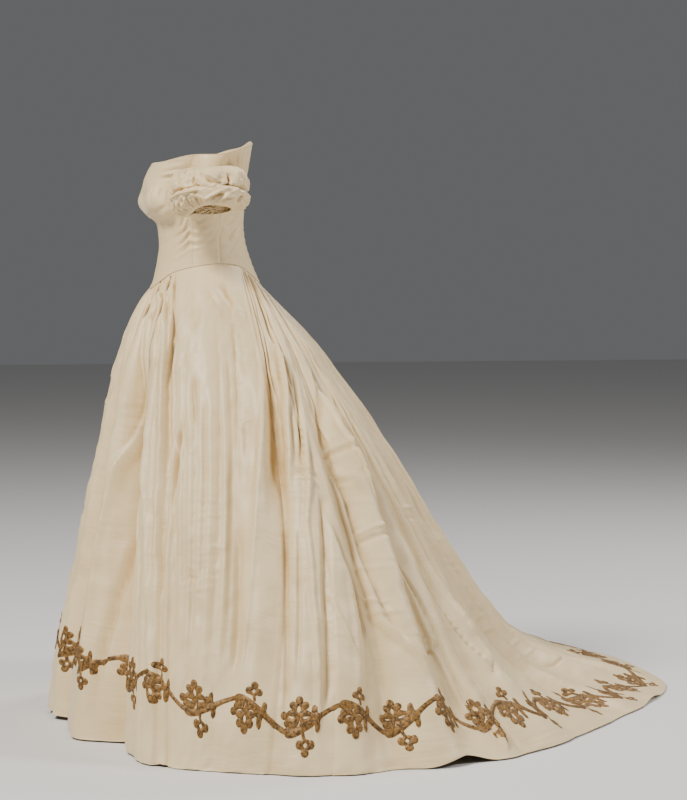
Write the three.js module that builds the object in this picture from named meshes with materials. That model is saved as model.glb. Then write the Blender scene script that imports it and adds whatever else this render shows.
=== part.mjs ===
// A laced silk ball gown of the 1860s with a trained skirt, in its hollow worn form.
//
// Millimetres, +Z up. The origin is the centre of the waist, where the wearer holds the gown up.
// -Y is the wearer's front, +X the wearer's left, and the train runs out along +Y.
// Each piece is a thin closed wall over a surface that is worked out from the short tables below.
import * as THREE from 'three';

// ---------------------------------------------------------------- driving sizes
const WAIST_HEIGHT = 990;          // from the floor to the waist, on a wearer in low shoes
const WALL = 1.6;                  // silk with its lining, as one wall
const SEAM_GAP = 0.45;             // between two pieces at a seam
const HEM_LEVELLING = 0.12;        // last share of the fall, over which folds level out
const SEAM_LAP = 3;                // how far a sleeve laps over the armhole's edge
const SEAM_TUCK = 7;               // how far the skirt reaches up inside the bodice
const CUP_HEIGHT = 20;             // how far each bust cup stands out of the plain section
const CUP_CENTRE = { deg: 32, z: 150 };
const CUP_SPREAD = { deg: 26, z: 44 };
const CAP_DEPTH = 28;              // height of the plain band over the upper arm
const CAP_BULGE = 34;              // how far its lower edge stands out round the arm
const CAP_GAP_DEG = 0.28;          // between the band's ends and the armhole's edge
const CAP_END = 0.999;             // how near the band's ends the sleeve's seam is read off
const UNDERARM_GAP = 0.75;         // between the sleeve and the bodice under the arm
const PUFF_GAP = 0.5;              // between the two puffs of a sleeve, where they are gathered
const ARMHOLE = { deg: 84, halfDeg: 22, underarmZ: 138, power: 3 };

const LACE_RADIUS = 1.1;
const LACE_TURNS = 22;
const LACE_HALF_DEG = 4;           // how far the lace reaches to each side of the join
const LACE_RISE = { low: 0.02, high: 0.975 };
const LACE_STANDOFF = 1.8;         // from the panels to the middle of the lace
const LACE_TENSION = 0.15;         // how tightly its turns are drawn

const SILK = { color: 0xddd0b8, roughness: 0.5, metalness: 0 };
const LACE = { color: 0xc9b691, roughness: 0.7, metalness: 0 };

const RAD = Math.PI / 180;
const DEGREE = 1;                  // step round the bodice over which a normal is taken
const LENGTH_STEP = 0.06;          // the same round the skirt, in rows of its table
const FALL_STEP = 0.004;           // the same down the skirt, as a share of its length
const TUCK_ALONG = -0.01;          // the place along a length that stands for the tuck's upper edge

// ---------------------------------------------------------------- tables
// Torso sections: reach of the front and back from the axis, and half the width, at a height.
const TORSO = [
  { z: -60, front: 121, back: 135, half: 128 },
  { z: -30, front: 110, back: 122, half: 121 },
  { z: 0, front: 103, back: 109, half: 117 },
  { z: 30, front: 98, back: 98, half: 115 },
  { z: 60, front: 96, back: 90, half: 117 },
  { z: 95, front: 103, back: 87, half: 124 },
  { z: 125, front: 121, back: 88, half: 133 },
  { z: 155, front: 130, back: 90, half: 141 },
  { z: 185, front: 131, back: 92, half: 154 },
  { z: 210, front: 121, back: 95, half: 176 },
  { z: 240, front: 104, back: 99, half: 206 },
  { z: 285, front: 96, back: 104, half: 226 },
];

// Edges of the bodice round one side: the waist seam below and the neckline above.
const BODICE_EDGES = [
  { deg: 0, waist: -46, neck: 227 },
  { deg: 25, waist: -28, neck: 227 },
  { deg: 38, waist: -14, neck: 231 },
  { deg: 60, waist: -2, neck: 238 },
  { deg: 95, waist: 8, neck: 240 },
  { deg: 125, waist: 4, neck: 256 },
  { deg: 140, waist: -10, neck: 263 },
  { deg: 160, waist: -31, neck: 267 },
  { deg: 180, waist: -42, neck: 276 },
];

// How a length of skirt falls: share of the way out and of the way down, along it from the waist.
// cut 0 hangs at the front, 1 at the side and 2 along the train.
const FALLS = [
  { at: 0.00, out0: 0.000, down0: 0.00, out1: 0.000, down1: 0.00, out2: 0.000, down2: 0.000 },
  { at: 0.03, out0: 0.090, down0: 0.03, out1: 0.060, down1: 0.03, out2: 0.045, down2: 0.045 },
  { at: 0.08, out0: 0.200, down0: 0.08, out1: 0.150, down1: 0.08, out2: 0.116, down2: 0.120 },
  { at: 0.16, out0: 0.320, down0: 0.16, out1: 0.280, down1: 0.16, out2: 0.205, down2: 0.240 },
  { at: 0.28, out0: 0.420, down0: 0.28, out1: 0.440, down1: 0.28, out2: 0.312, down2: 0.400 },
  { at: 0.42, out0: 0.545, down0: 0.42, out1: 0.600, down1: 0.42, out2: 0.417, down2: 0.580 },
  { at: 0.58, out0: 0.680, down0: 0.58, out1: 0.750, down1: 0.58, out2: 0.535, down2: 0.760 },
  { at: 0.74, out0: 0.815, down0: 0.74, out1: 0.870, down1: 0.74, out2: 0.645, down2: 0.880 },
  { at: 0.88, out0: 0.935, down0: 0.88, out1: 0.955, down1: 0.88, out2: 0.800, down2: 0.950 },
  { at: 1.00, out0: 1.000, down0: 1.00, out1: 1.000, down1: 1.00, out2: 1.000, down2: 1.000 },
];

// Lengths of the skirt all round, from the front by the wearer's left: the angle where each
// leaves the waist, where its hem lies, how high the hem clears the floor, how it falls, and how
// far it sways back half way down.
const LENGTHS = [
  { deg: 0, x: 0, y: -322, lift: 9, cut: 0.0, sway: 0 },
  { deg: 8, x: 125, y: -300, lift: 5, cut: 0.0, sway: 0 },
  { deg: 17, x: 285, y: -256, lift: 4, cut: 0.1, sway: 0 },
  { deg: 27, x: 478, y: -186, lift: 3, cut: 0.35, sway: 0 },
  { deg: 42, x: 530, y: -160, lift: 2, cut: 0.6, sway: 5 },
  { deg: 66, x: 558, y: -132, lift: 2, cut: 0.85, sway: 12 },
  { deg: 96, x: 588, y: -86, lift: 2, cut: 1.0, sway: 28 },
  { deg: 120, x: 622, y: -24, lift: 2, cut: 1.0, sway: 48 },
  { deg: 134, x: 676, y: 85, lift: 2, cut: 1.05, sway: 48 },
  { deg: 142, x: 678, y: 235, lift: 2, cut: 1.15, sway: 34 },
  { deg: 150, x: 640, y: 392, lift: 3, cut: 1.3, sway: 18 },
  { deg: 158, x: 588, y: 542, lift: 4, cut: 1.45, sway: 8 },
  { deg: 164, x: 432, y: 710, lift: 4, cut: 1.65, sway: 0 },
  { deg: 169.5, x: 238, y: 868, lift: 4, cut: 1.82, sway: 0 },
  { deg: 174.8, x: 52, y: 1010, lift: 4, cut: 1.95, sway: 0 },
  { deg: 180, x: -142, y: 1120, lift: 5, cut: 2.0, sway: 0 },
  { deg: 185, x: -330, y: 1135, lift: 12, cut: 1.98, sway: 0 },
  { deg: 190, x: -505, y: 1090, lift: 26, cut: 1.9, sway: 0 },
  { deg: 195.5, x: -640, y: 970, lift: 32, cut: 1.75, sway: 0 },
  { deg: 202, x: -705, y: 785, lift: 14, cut: 1.55, sway: 5 },
  { deg: 211, x: -700, y: 570, lift: 4, cut: 1.35, sway: 15 },
  { deg: 222, x: -680, y: 365, lift: 3, cut: 1.15, sway: 30 },
  { deg: 238, x: -650, y: 165, lift: 3, cut: 1.05, sway: 45 },
  { deg: 262, x: -605, y: 5, lift: 3, cut: 1.0, sway: 35 },
  { deg: 292, x: -560, y: -95, lift: 4, cut: 0.9, sway: 15 },
  { deg: 318, x: -510, y: -165, lift: 6, cut: 0.6, sway: 5 },
  { deg: 333, x: -430, y: -216, lift: 7, cut: 0.35, sway: 0 },
  { deg: 343, x: -275, y: -276, lift: 8, cut: 0.1, sway: 0 },
  { deg: 352, x: -130, y: -320, lift: 10, cut: 0.0, sway: 0 },
];

// Knife pleats set into the waist, which open downwards into long soft folds: the angles where
// each group starts and ends, and how deep its pleats are at the waist, half way and at the hem.
const PLEATS = {
  front_left: { from: 0, to: 45, count: 7, waist: 5, half: 8, hem: 6 },
  back_left: { from: 128, to: 180, count: 8, waist: 5, half: 10, hem: 9 },
  back_right: { from: 232, to: 180, count: 8, waist: 5, half: 10, hem: 9 },
  front_right: { from: 360, to: 315, count: 7, waist: 5, half: 8, hem: 6 },
};
const PLEAT_RISE = 0.7;            // share of a pleat's width over which it rises
const PLEAT_EASE = 0.03;           // share of the fall over which pleats come up at the waist
const FOLD_EASE = 0.3;             // share of the fall over which a fold opens or closes

// The largest folds: the angle they leave the waist at, at the hem, their height (troughs below
// nought), half their width at the top and the hem, and the stretch of the fall they take up.
const FOLDS = [
  { name: 'front_flute', deg: 354, hemDeg: 351, height: 6, top: 30, hem: 80, from: 0.15, to: 1.3 },
  { name: 'front_hollow', deg: 360, hemDeg: 358, height: -36, top: 25, hem: 70, from: 0.12, to: 1.3 },
  { name: 'front_ridge', deg: 10, hemDeg: 9.5, height: 24, top: 25, hem: 75, from: 0.06, to: 1.3 },
  { name: 'shaded_trough', deg: 17, hemDeg: 16.5, height: -62, top: 25, hem: 85, from: 0.1, to: 1.3 },
  { name: 'seam_ridge', deg: 26, hemDeg: 26, height: 26, top: 20, hem: 65, from: 0.1, to: 1.3 },
  { name: 'side_front_trough', deg: 40, hemDeg: 40, height: -12, top: 22, hem: 40, from: 0.02, to: 0.6 },
  { name: 'hip_ridge', deg: 122, hemDeg: 120, height: 14, top: 20, hem: 60, from: 0.12, to: 1.1 },
  { name: 'deep_fold', deg: 131, hemDeg: 132, height: -30, top: 18, hem: 60, from: 0.08, to: 0.9 },
  { name: 'side_back_ridge', deg: 138, hemDeg: 139, height: 16, top: 18, hem: 75, from: 0.1, to: 1.2 },
  { name: 'back_trough_1', deg: 143, hemDeg: 144, height: -22, top: 16, hem: 80, from: 0.12, to: 1.2 },
  { name: 'back_ridge_1', deg: 149, hemDeg: 150, height: 20, top: 16, hem: 90, from: 0.1, to: 1.2 },
  { name: 'back_trough_2', deg: 155, hemDeg: 156, height: -20, top: 16, hem: 90, from: 0.1, to: 1.1 },
  { name: 'back_ridge_2', deg: 163, hemDeg: 163, height: 18, top: 18, hem: 110, from: 0.12, to: 1.1 },
  { name: 'train_crease', deg: 170, hemDeg: 171, height: -20, top: 18, hem: 90, from: 0.2, to: 1.05 },
  { name: 'train_ridge', deg: 179, hemDeg: 184, height: 26, top: 24, hem: 120, from: 0.62, to: 1.0 },
  { name: 'far_train_trough', deg: 188, hemDeg: 190, height: -22, top: 20, hem: 90, from: 0.3, to: 1.05 },
  { name: 'far_back_ridge', deg: 197, hemDeg: 197, height: 20, top: 16, hem: 100, from: 0.1, to: 1.1 },
  { name: 'far_back_trough', deg: 208, hemDeg: 207, height: -24, top: 16, hem: 90, from: 0.1, to: 1.2 },
  { name: 'far_side_ridge', deg: 222, hemDeg: 221, height: 20, top: 16, hem: 80, from: 0.1, to: 1.2 },
  { name: 'far_deep_fold', deg: 231, hemDeg: 231, height: -32, top: 18, hem: 60, from: 0.08, to: 0.95 },
  { name: 'far_hip_ridge', deg: 240, hemDeg: 242, height: 14, top: 20, hem: 60, from: 0.12, to: 1.1 },
  { name: 'far_front_trough', deg: 322, hemDeg: 322, height: -12, top: 22, hem: 40, from: 0.02, to: 0.6 },
  { name: 'far_seam_ridge', deg: 334, hemDeg: 334, height: 26, top: 20, hem: 65, from: 0.1, to: 1.3 },
  { name: 'far_shaded_trough', deg: 343, hemDeg: 344, height: -52, top: 25, hem: 80, from: 0.1, to: 1.3 },
];

// Panels of the skirt, like those of the bodice. A stop is the slot of a pleat, counted from
// where its group starts, so every seam of the skirt lies hidden in a slot.
const SKIRT_PANELS = [
  { name: 'skirt_front', stops: ['front_right 5', 'front_right 0', 'front_left 5'], columns: [20, 20] },
  {
    name: 'skirt_side_left',
    stops: ['front_left 5', 'front_left 7', 'back_left 0', 'back_left 1'],
    columns: [8, 9, 4],
  },
  { name: 'skirt_side_back_left', stops: ['back_left 1', 'back_left 4'], columns: [12] },
  { name: 'skirt_back_left', stops: ['back_left 4', 'back_left 8'], columns: [16] },
  { name: 'skirt_back_right', stops: ['back_right 8', 'back_right 4'], columns: [16] },
  { name: 'skirt_side_back_right', stops: ['back_right 4', 'back_right 1'], columns: [12] },
  {
    name: 'skirt_side_right',
    stops: ['back_right 1', 'back_right 0', 'front_right 7', 'front_right 5'],
    columns: [4, 9, 8],
  },
];
const SKIRT_ROWS = [TUCK_ALONG, 0, 0.025, 0.06, 0.11, 0.18, 0.27, 0.37, 0.48, 0.59, 0.7, 0.8, 0.9, 1];

// Panels of the bodice, each from one seam to the next through the angles at stops, with the
// columns of faces between two stops. The front is one piece across the middle.
const BODICE_PANELS = [
  { name: 'bodice_front', stops: [-68, -65, -62, 62, 65, 68], columns: [2, 2, 20, 2, 2] },
  { name: 'bodice_side_left', stops: [68, 101], columns: [6] },
  { name: 'bodice_back_left', stops: [101, 103.5, 106, 179.2], columns: [2, 2, 12] },
  { name: 'bodice_back_right', stops: [180.8, 254, 256.5, 259], columns: [12, 2, 2] },
  { name: 'bodice_side_right', stops: [259, 292], columns: [6] },
];
const BODICE_ROWS = 8;

// Rings of a sleeve, from the armhole to the opening: centre, half the width and the depth, and
// the heights on the outer and the inner side.
const SLEEVE_RINGS = {
  middle: { x: 190, y: -16, halfX: 43, halfY: 55, outerZ: 176, innerZ: 128 },
  opening: { x: 187, y: -14, halfX: 42, halfY: 45, outerZ: 131, innerZ: 112 },
};

// Puffs of a sleeve: swell is how far each stands out between its rings, a lean under 1 makes it
// fuller above, ruffles is how many gathers run round it, and droop is how far its front sags.
const PUFFS = [
  { name: 'sleeve_puff_upper', swell: 24, lean: 1.0, ruffles: 8, ruffleDepth: 3.6, droop: 0 },
  { name: 'sleeve_puff_lower', swell: 23, lean: 0.7, ruffles: 9, ruffleDepth: 3.2, droop: 14 },
];
const PUFF_COLUMNS = 36;
const PUFF_ROWS = 5;
const PUFF_PROFILE = { squareness: 3, fullness: 0.75 };
const BODY_SIDE = { reach: 1.05, width: 0.75 };  // where a puff lies flat against the bodice
const SECOND_RUFFLE = { share: 0.5, fewer: 3, shift: 1.3 };

// ---------------------------------------------------------------- curves through tables
// Value of one column of a table, smooth between its rows and level past its ends.
function tableValue(rows, key, at, column) {
  if (at <= rows[0][key]) return rows[0][column];
  const last = rows.length - 1;
  if (at >= rows[last][key]) return rows[last][column];
  let low = 0;
  while (rows[low + 1][key] < at) low += 1;
  const slope = (i) => {
    if (i === 0 || i === last) return 0;
    return (rows[i + 1][column] - rows[i - 1][column]) / (rows[i + 1][key] - rows[i - 1][key]);
  };
  const a = rows[low];
  const b = rows[low + 1];
  const span = b[key] - a[key];
  return hermite((at - a[key]) / span, a[column], b[column], slope(low) * span, slope(low + 1) * span);
}

function hermite(s, p0, p1, m0, m1) {
  const s2 = s * s;
  const s3 = s2 * s;
  return (2 * s3 - 3 * s2 + 1) * p0 + (s3 - 2 * s2 + s) * m0 + (3 * s2 - 2 * s3) * p1 + (s3 - s2) * m1;
}

// The closed ring of skirt lengths, at a place k counted in rows.
function lengthValue(k, column) {
  const n = LENGTHS.length;
  const low = Math.floor(k);
  const value = (i) => {
    const turn = Math.floor(i / n);
    const own = LENGTHS[i - turn * n][column];
    return column === 'deg' ? own + 360 * turn : own;
  };
  const [p0, p1, p2, p3] = [low - 1, low, low + 1, low + 2].map(value);
  return hermite(k - low, p1, p2, (p2 - p0) / 2, (p3 - p1) / 2);
}

// The place k whose length leaves the waist at an angle.
function placeOf(deg) {
  let low = -LENGTHS.length;
  let high = 2 * LENGTHS.length;
  for (let step = 0; step < 40; step += 1) {
    const middle = (low + high) / 2;
    if (lengthValue(middle, 'deg') < deg) low = middle;
    else high = middle;
  }
  return (low + high) / 2;
}

const clamp01 = (x) => Math.min(1, Math.max(0, x));
const smooth = (x) => clamp01(x) ** 2 * (3 - 2 * clamp01(x));
const bump = (x) => (Math.abs(x) < 1 ? (1 + Math.cos(Math.PI * x)) / 2 : 0);
const mix = (a, b, s) => a + (b - a) * s;

// ---------------------------------------------------------------- bodice surface
const sideDeg = (deg) => {
  const turned = ((deg % 360) + 360) % 360;
  return turned > 180 ? 360 - turned : turned;
};
const waistSeam = (deg) => tableValue(BODICE_EDGES, 'deg', sideDeg(deg), 'waist');
const neckline = (deg) => tableValue(BODICE_EDGES, 'deg', sideDeg(deg), 'neck');

// The upper edge dips from the neckline to the underarm, in a rounded armhole.
function upperEdge(deg) {
  const across = Math.abs(sideDeg(deg) - ARMHOLE.deg) / ARMHOLE.halfDeg;
  if (across >= 1) return neckline(deg);
  return mix(ARMHOLE.underarmZ, neckline(deg), across ** ARMHOLE.power);
}

function torsoPoint(deg, z, out = 0) {
  const half = tableValue(TORSO, 'z', z, 'half');
  const reach = tableValue(TORSO, 'z', z, Math.cos(deg * RAD) > 0 ? 'front' : 'back');
  const cup = CUP_HEIGHT
    * bump((sideDeg(deg) - CUP_CENTRE.deg) / CUP_SPREAD.deg)
    * bump((z - CUP_CENTRE.z) / CUP_SPREAD.z);
  const x = Math.sin(deg * RAD);
  const y = -Math.cos(deg * RAD);
  return new THREE.Vector3((half + out + cup) * x, (reach + out + cup) * y, z);
}

const bodiceSurface = (deg, rise) => torsoPoint(deg, mix(waistSeam(deg), upperEdge(deg), rise));

// ---------------------------------------------------------------- skirt surface
function fallShare(kind, along, cut) {
  const side = tableValue(FALLS, 'at', along, `${kind}1`);
  if (cut <= 1) return mix(tableValue(FALLS, 'at', along, `${kind}0`), side, cut);
  return mix(side, tableValue(FALLS, 'at', along, `${kind}2`), Math.min(cut, 2) - 1);
}

// The skirt without its folds. along is 0 at the waist seam and 1 at the hem.
function plainSkirt(k, along) {
  const deg = lengthValue(k, 'deg');
  const cut = lengthValue(k, 'cut');
  const top = torsoPoint(deg, waistSeam(deg) - SEAM_GAP, -WALL - SEAM_GAP);
  const floor = -WAIST_HEIGHT;
  const hem = new THREE.Vector3(lengthValue(k, 'x'), lengthValue(k, 'y'), floor + lengthValue(k, 'lift'));
  const out = fallShare('out', along, cut);
  const down = fallShare('down', along, cut);
  const point = top.clone().lerp(hem, out);
  point.z = mix(top.z, hem.z, down);
  point.y += lengthValue(k, 'sway') * Math.sin(Math.PI * clamp01(along));
  return point;
}

// One pleat rises slowly and drops into the next.
function pleatWave(phase) {
  const turn = phase - Math.floor(phase);
  return turn < PLEAT_RISE ? bump(1 - turn / PLEAT_RISE) : bump((turn - PLEAT_RISE) / (1 - PLEAT_RISE));
}

for (const group of Object.values(PLEATS)) {
  group.first = placeOf(group.from);
  group.last = placeOf(group.to);
}

function pleatHeight(k, along) {
  const turned = ((k % LENGTHS.length) + LENGTHS.length) % LENGTHS.length;
  for (const group of Object.values(PLEATS)) {
    const phase = ((turned - group.first) / (group.last - group.first)) * group.count;
    if (phase < 0 || phase > group.count) continue;
    const { waist, half, hem } = group;
    const depth = along < 0.5 ? mix(waist, half, along / 0.5) : mix(half, hem, along / 0.5 - 1);
    return depth * (pleatWave(phase) - 0.5) * smooth(along / PLEAT_EASE);
  }
  return 0;
}

const foldPlaces = FOLDS.map((row) => ({ top: placeOf(row.deg), hem: placeOf(row.hemDeg) }));

function foldHeight(k, along) {
  const here = plainSkirt(k, along);
  let height = 0;
  for (const [number, row] of FOLDS.entries()) {
    const place = foldPlaces[number];
    const centre = plainSkirt(mix(place.top, place.hem, along), along);
    const across = here.distanceTo(centre) / mix(row.top, row.hem, along);
    if (across >= 1) continue;
    const opens = smooth((along - row.from) / FOLD_EASE);
    const closes = smooth((row.to - along) / FOLD_EASE);
    height += row.height * bump(across) * opens * closes;
  }
  return height;
}

function surfaceNormal(surface, u, v, stepU, stepV) {
  const alongU = surface(u + stepU, v).sub(surface(u - stepU, v));
  const alongV = surface(u, v + stepV).sub(surface(u, v - stepV));
  return alongV.cross(alongU).normalize();
}

function skirtSurface(k, along) {
  if (along < 0) {
    const deg = lengthValue(k, 'deg');
    return torsoPoint(deg, waistSeam(deg) + (along / TUCK_ALONG) * SEAM_TUCK, -WALL - SEAM_GAP);
  }
  const point = plainSkirt(k, along);
  const outward = surfaceNormal(plainSkirt, k, Math.min(along, 1 - FALL_STEP), LENGTH_STEP, FALL_STEP);
  outward.z *= smooth((1 - along) / HEM_LEVELLING);
  return point.addScaledVector(outward, pleatHeight(k, along) + foldHeight(k, along));
}

// ---------------------------------------------------------------- walls
// A closed wall over the places [u, v] of a surface, rows from its upper edge down and columns
// from right to left. The inner points lie the wall's thickness inside the outer ones.
function wallGeometry(surface, places, { closedRound = false, stepU = 0.5, stepV = 0.01 } = {}) {
  const rows = places.length;
  const columns = places[0].length;
  const outer = places.map((row) => row.map(([u, v]) => surface(u, v)));
  const inner = places.map((row, i) => row.map(([u, v], j) => {
    const across = surface(u + stepU, v).sub(surface(u - stepU, v));
    const down = surface(u, v + stepV).sub(surface(u, v - stepV));
    return outer[i][j].clone().addScaledVector(across.cross(down).normalize(), WALL);
  }));
  const positions = [...outer.flat(), ...inner.flat()].flatMap((p) => [p.x, p.y, p.z]);
  const layer = rows * columns;
  const index = [];
  const quad = (a, b, c, d) => index.push(a, b, c, a, c, d);
  const lastColumn = closedRound ? columns : columns - 1;
  for (let i = 0; i < rows - 1; i += 1) {
    for (let j = 0; j < lastColumn; j += 1) {
      const next = (j + 1) % columns;
      const a = i * columns + j;
      const b = a + columns;
      const c = (i + 1) * columns + next;
      const d = i * columns + next;
      quad(a, b, c, d);
      quad(layer + a, layer + d, layer + c, layer + b);
    }
  }
  for (let j = 0; j < lastColumn; j += 1) {
    const next = (j + 1) % columns;
    const bottom = (rows - 1) * columns;
    quad(j, next, layer + next, layer + j);
    quad(bottom + next, bottom + j, layer + bottom + j, layer + bottom + next);
  }
  if (!closedRound) {
    for (let i = 0; i < rows - 1; i += 1) {
      const left = i * columns;
      const right = left + columns - 1;
      quad(left + columns, left, layer + left, layer + left + columns);
      quad(right, right + columns, layer + right + columns, layer + right);
    }
  }
  const geometry = new THREE.BufferGeometry();
  geometry.setAttribute('position', new THREE.Float32BufferAttribute(positions, 3));
  geometry.setIndex(index);
  geometry.computeVertexNormals();
  return geometry;
}

const gown = new THREE.Group();

function addPiece(name, geometry, finish = SILK) {
  const piece = new THREE.Mesh(geometry, new THREE.MeshStandardMaterial(finish));
  piece.name = name;
  gown.add(piece);
}

// Where a panel's columns lie, held back from both its seams by half the gap.
function panelColumns(stops, columns, surface, along, unit) {
  const arc = (u) => surface(u + unit / 2, along).distanceTo(surface(u - unit / 2, along));
  const halfGap = (u) => (SEAM_GAP / 2) * unit / arc(u);
  const last = stops.length - 1;
  const edges = [...stops];
  edges[0] += halfGap(stops[0]);
  edges[last] -= halfGap(stops[last]);
  const places = [edges[0]];
  columns.forEach((count, i) => {
    for (let j = 1; j <= count; j += 1) places.push(mix(edges[i], edges[i + 1], j / count));
  });
  return places;
}

// ---------------------------------------------------------------- bodice
function addBodice() {
  for (const panel of BODICE_PANELS) {
    const places = [];
    for (let i = 0; i <= BODICE_ROWS; i += 1) {
      const rise = 1 - i / BODICE_ROWS;
      const degrees = panelColumns(panel.stops, panel.columns, bodiceSurface, rise, DEGREE);
      places.push(degrees.map((deg) => [deg, rise]));
    }
    addPiece(panel.name, wallGeometry(bodiceSurface, places, { stepV: -0.01 }));
  }
}

// ---------------------------------------------------------------- skirt
// The place of a stop, such as 'back_left 3', on a turn that keeps a panel's stops in order.
function slotPlace(stop, lowest) {
  const [name, number] = stop.split(' ');
  const { first, last, count } = PLEATS[name];
  const k = mix(first, last, Number(number) / count);
  return k < lowest ? k + LENGTHS.length : k;
}

function addSkirt() {
  for (const panel of SKIRT_PANELS) {
    const stops = [];
    for (const stop of panel.stops) stops.push(slotPlace(stop, stops.at(-1) ?? 0));
    const places = SKIRT_ROWS.map((along) => {
      const columns = panelColumns(stops, panel.columns, skirtSurface, along, LENGTH_STEP);
      return columns.map((k) => [k, along]);
    });
    addPiece(panel.name, wallGeometry(skirtSurface, places, { stepU: LENGTH_STEP, stepV: FALL_STEP }));
  }
}

// ---------------------------------------------------------------- sleeves
// Where the armhole's edge lies at a height: degrees from its middle, to the front or the back.
function armholeReach(z, direction) {
  let reach = ARMHOLE.halfDeg;
  for (let step = 0; step < 4; step += 1) {
    const neckZ = neckline(ARMHOLE.deg + direction * reach);
    const share = clamp01((z - ARMHOLE.underarmZ) / (neckZ - ARMHOLE.underarmZ));
    reach = ARMHOLE.halfDeg * share ** (1 / ARMHOLE.power);
  }
  return reach;
}

// The plain band that carries the neckline over the upper arm, between the armhole's edges.
function capSurface(across, rise) {
  const nearDeg = ARMHOLE.deg + across * ARMHOLE.halfDeg;
  const z = neckline(nearDeg) - CAP_DEPTH * (1 - rise);
  const reach = armholeReach(z, Math.sign(across)) - CAP_GAP_DEG;
  const deg = ARMHOLE.deg + across * reach;
  const overArm = CAP_BULGE * (1 - rise) * Math.max(0, 1 - across ** 2);
  return torsoPoint(deg, z, overArm);
}

// Points round the seam between sleeve and bodice, turn 0 outwards and a quarter to the front.
function armholeRing(turn) {
  const angle = turn * 2 * Math.PI;
  const outward = Math.cos(angle);
  const across = -Math.sin(angle);
  const lap = SEAM_LAP * outward;
  const away = WALL + SEAM_GAP;
  if (outward >= 0) {
    const edge = capSurface(across * CAP_END, lap / CAP_DEPTH);
    return edge.add(new THREE.Vector3(away * outward, away * across, 0));
  }
  const capFoot = neckline(ARMHOLE.deg) - CAP_DEPTH;
  const deg = ARMHOLE.deg + across * armholeReach(capFoot, Math.sign(across));
  return torsoPoint(deg, upperEdge(deg) + lap, WALL + UNDERARM_GAP);
}

function sleeveRing(ring, turn) {
  const angle = turn * 2 * Math.PI;
  const outward = Math.cos(angle);
  const z = mix(ring.innerZ, ring.outerZ, (1 + outward) / 2);
  return new THREE.Vector3(ring.x + ring.halfX * outward, ring.y - ring.halfY * Math.sin(angle), z);
}

// A puff swells out between its two rings, with gathers all round it.
function puffSurface(puff, top, bottom, turn, fall) {
  const angle = turn * 2 * Math.PI;
  const outward = new THREE.Vector3(Math.cos(angle), -Math.sin(angle), 0);
  const clearOfBody = smooth((BODY_SIDE.reach + Math.cos(angle)) / BODY_SIDE.width);
  const fromMiddle = Math.abs(2 * clamp01(fall) ** puff.lean - 1);
  const rounded = (1 - fromMiddle ** PUFF_PROFILE.squareness) ** PUFF_PROFILE.fullness;
  const { share, fewer, shift } = SECOND_RUFFLE;
  const ruffle = Math.sin(angle * puff.ruffles) + share * Math.sin(angle * (puff.ruffles - fewer) + shift);
  const gathered = puff.ruffleDepth * ruffle * Math.sin(Math.PI * fall);
  const point = top(turn).lerp(bottom(turn), fall);
  point.addScaledVector(outward, (puff.swell * rounded + gathered) * clearOfBody);
  point.z -= puff.droop * Math.max(0, Math.sin(angle)) ** 3 * fall;
  return point;
}

const CAP_COLUMNS = 10;

function addSleeve(side) {
  const hand = side === 'left' ? 1 : -1;
  const handed = (surface) => (u, v) => {
    const point = surface(u * hand, v);
    point.x *= hand;
    return point;
  };
  const capPlaces = [1, 0.5, 0].map((rise) => (
    Array.from({ length: CAP_COLUMNS + 1 }, (_, j) => [2 * j / CAP_COLUMNS - 1, rise])));
  addPiece(`sleeve_cap_${side}`, wallGeometry(handed(capSurface), capPlaces, { stepU: 0.02, stepV: -0.02 }));
  const middle = (turn) => sleeveRing(SLEEVE_RINGS.middle, turn);
  const belowMiddle = (turn) => middle(turn).add(new THREE.Vector3(0, 0, -PUFF_GAP));
  const opening = (turn) => sleeveRing(SLEEVE_RINGS.opening, turn);
  const edges = [[armholeRing, middle], [belowMiddle, opening]];
  PUFFS.forEach((puff, number) => {
    const [top, bottom] = edges[number];
    const surface = handed((turn, fall) => puffSurface(puff, top, bottom, turn, fall));
    const places = Array.from({ length: PUFF_ROWS + 1 }, (_, i) => (
      Array.from({ length: PUFF_COLUMNS }, (_unused, j) => [-j / PUFF_COLUMNS, i / PUFF_ROWS])));
    const steps = { closedRound: true, stepU: -0.01, stepV: 0.01 };
    addPiece(`${puff.name}_${side}`, wallGeometry(surface, places, steps));
  });
}

// ---------------------------------------------------------------- lacing
// A point on the flat faces of a bodice panel.
function bodiceFacePoint(deg, rise) {
  const row = Math.min(BODICE_ROWS - 1, Math.floor(rise * BODICE_ROWS));
  const below = bodiceSurface(deg, row / BODICE_ROWS);
  const above = bodiceSurface(deg, (row + 1) / BODICE_ROWS);
  return below.lerp(above, rise * BODICE_ROWS - row);
}

// The lace runs from side to side over the join of the two back panels.
function addLacing() {
  const stations = Array.from({ length: LACE_TURNS * 2 + 1 }, (_, i) => {
    const across = Math.sin((i - 1) * Math.PI / 2);
    const rise = mix(LACE_RISE.low, LACE_RISE.high, i / LACE_TURNS / 2);
    const point = bodiceFacePoint(180 + LACE_HALF_DEG * across, rise);
    point.y += LACE_STANDOFF;
    return point;
  });
  const path = new THREE.CatmullRomCurve3(stations, false, 'catmullrom', LACE_TENSION);
  const section = new THREE.Shape().absarc(0, 0, LACE_RADIUS, 0, 2 * Math.PI);
  const options = { steps: LACE_TURNS * 2, curveSegments: 6, extrudePath: path };
  addPiece('back_lacing', new THREE.ExtrudeGeometry(section, options), LACE);
}

addBodice();
addLacing();
addSleeve('left');
addSleeve('right');
addSkirt();

export default gown;
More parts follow.
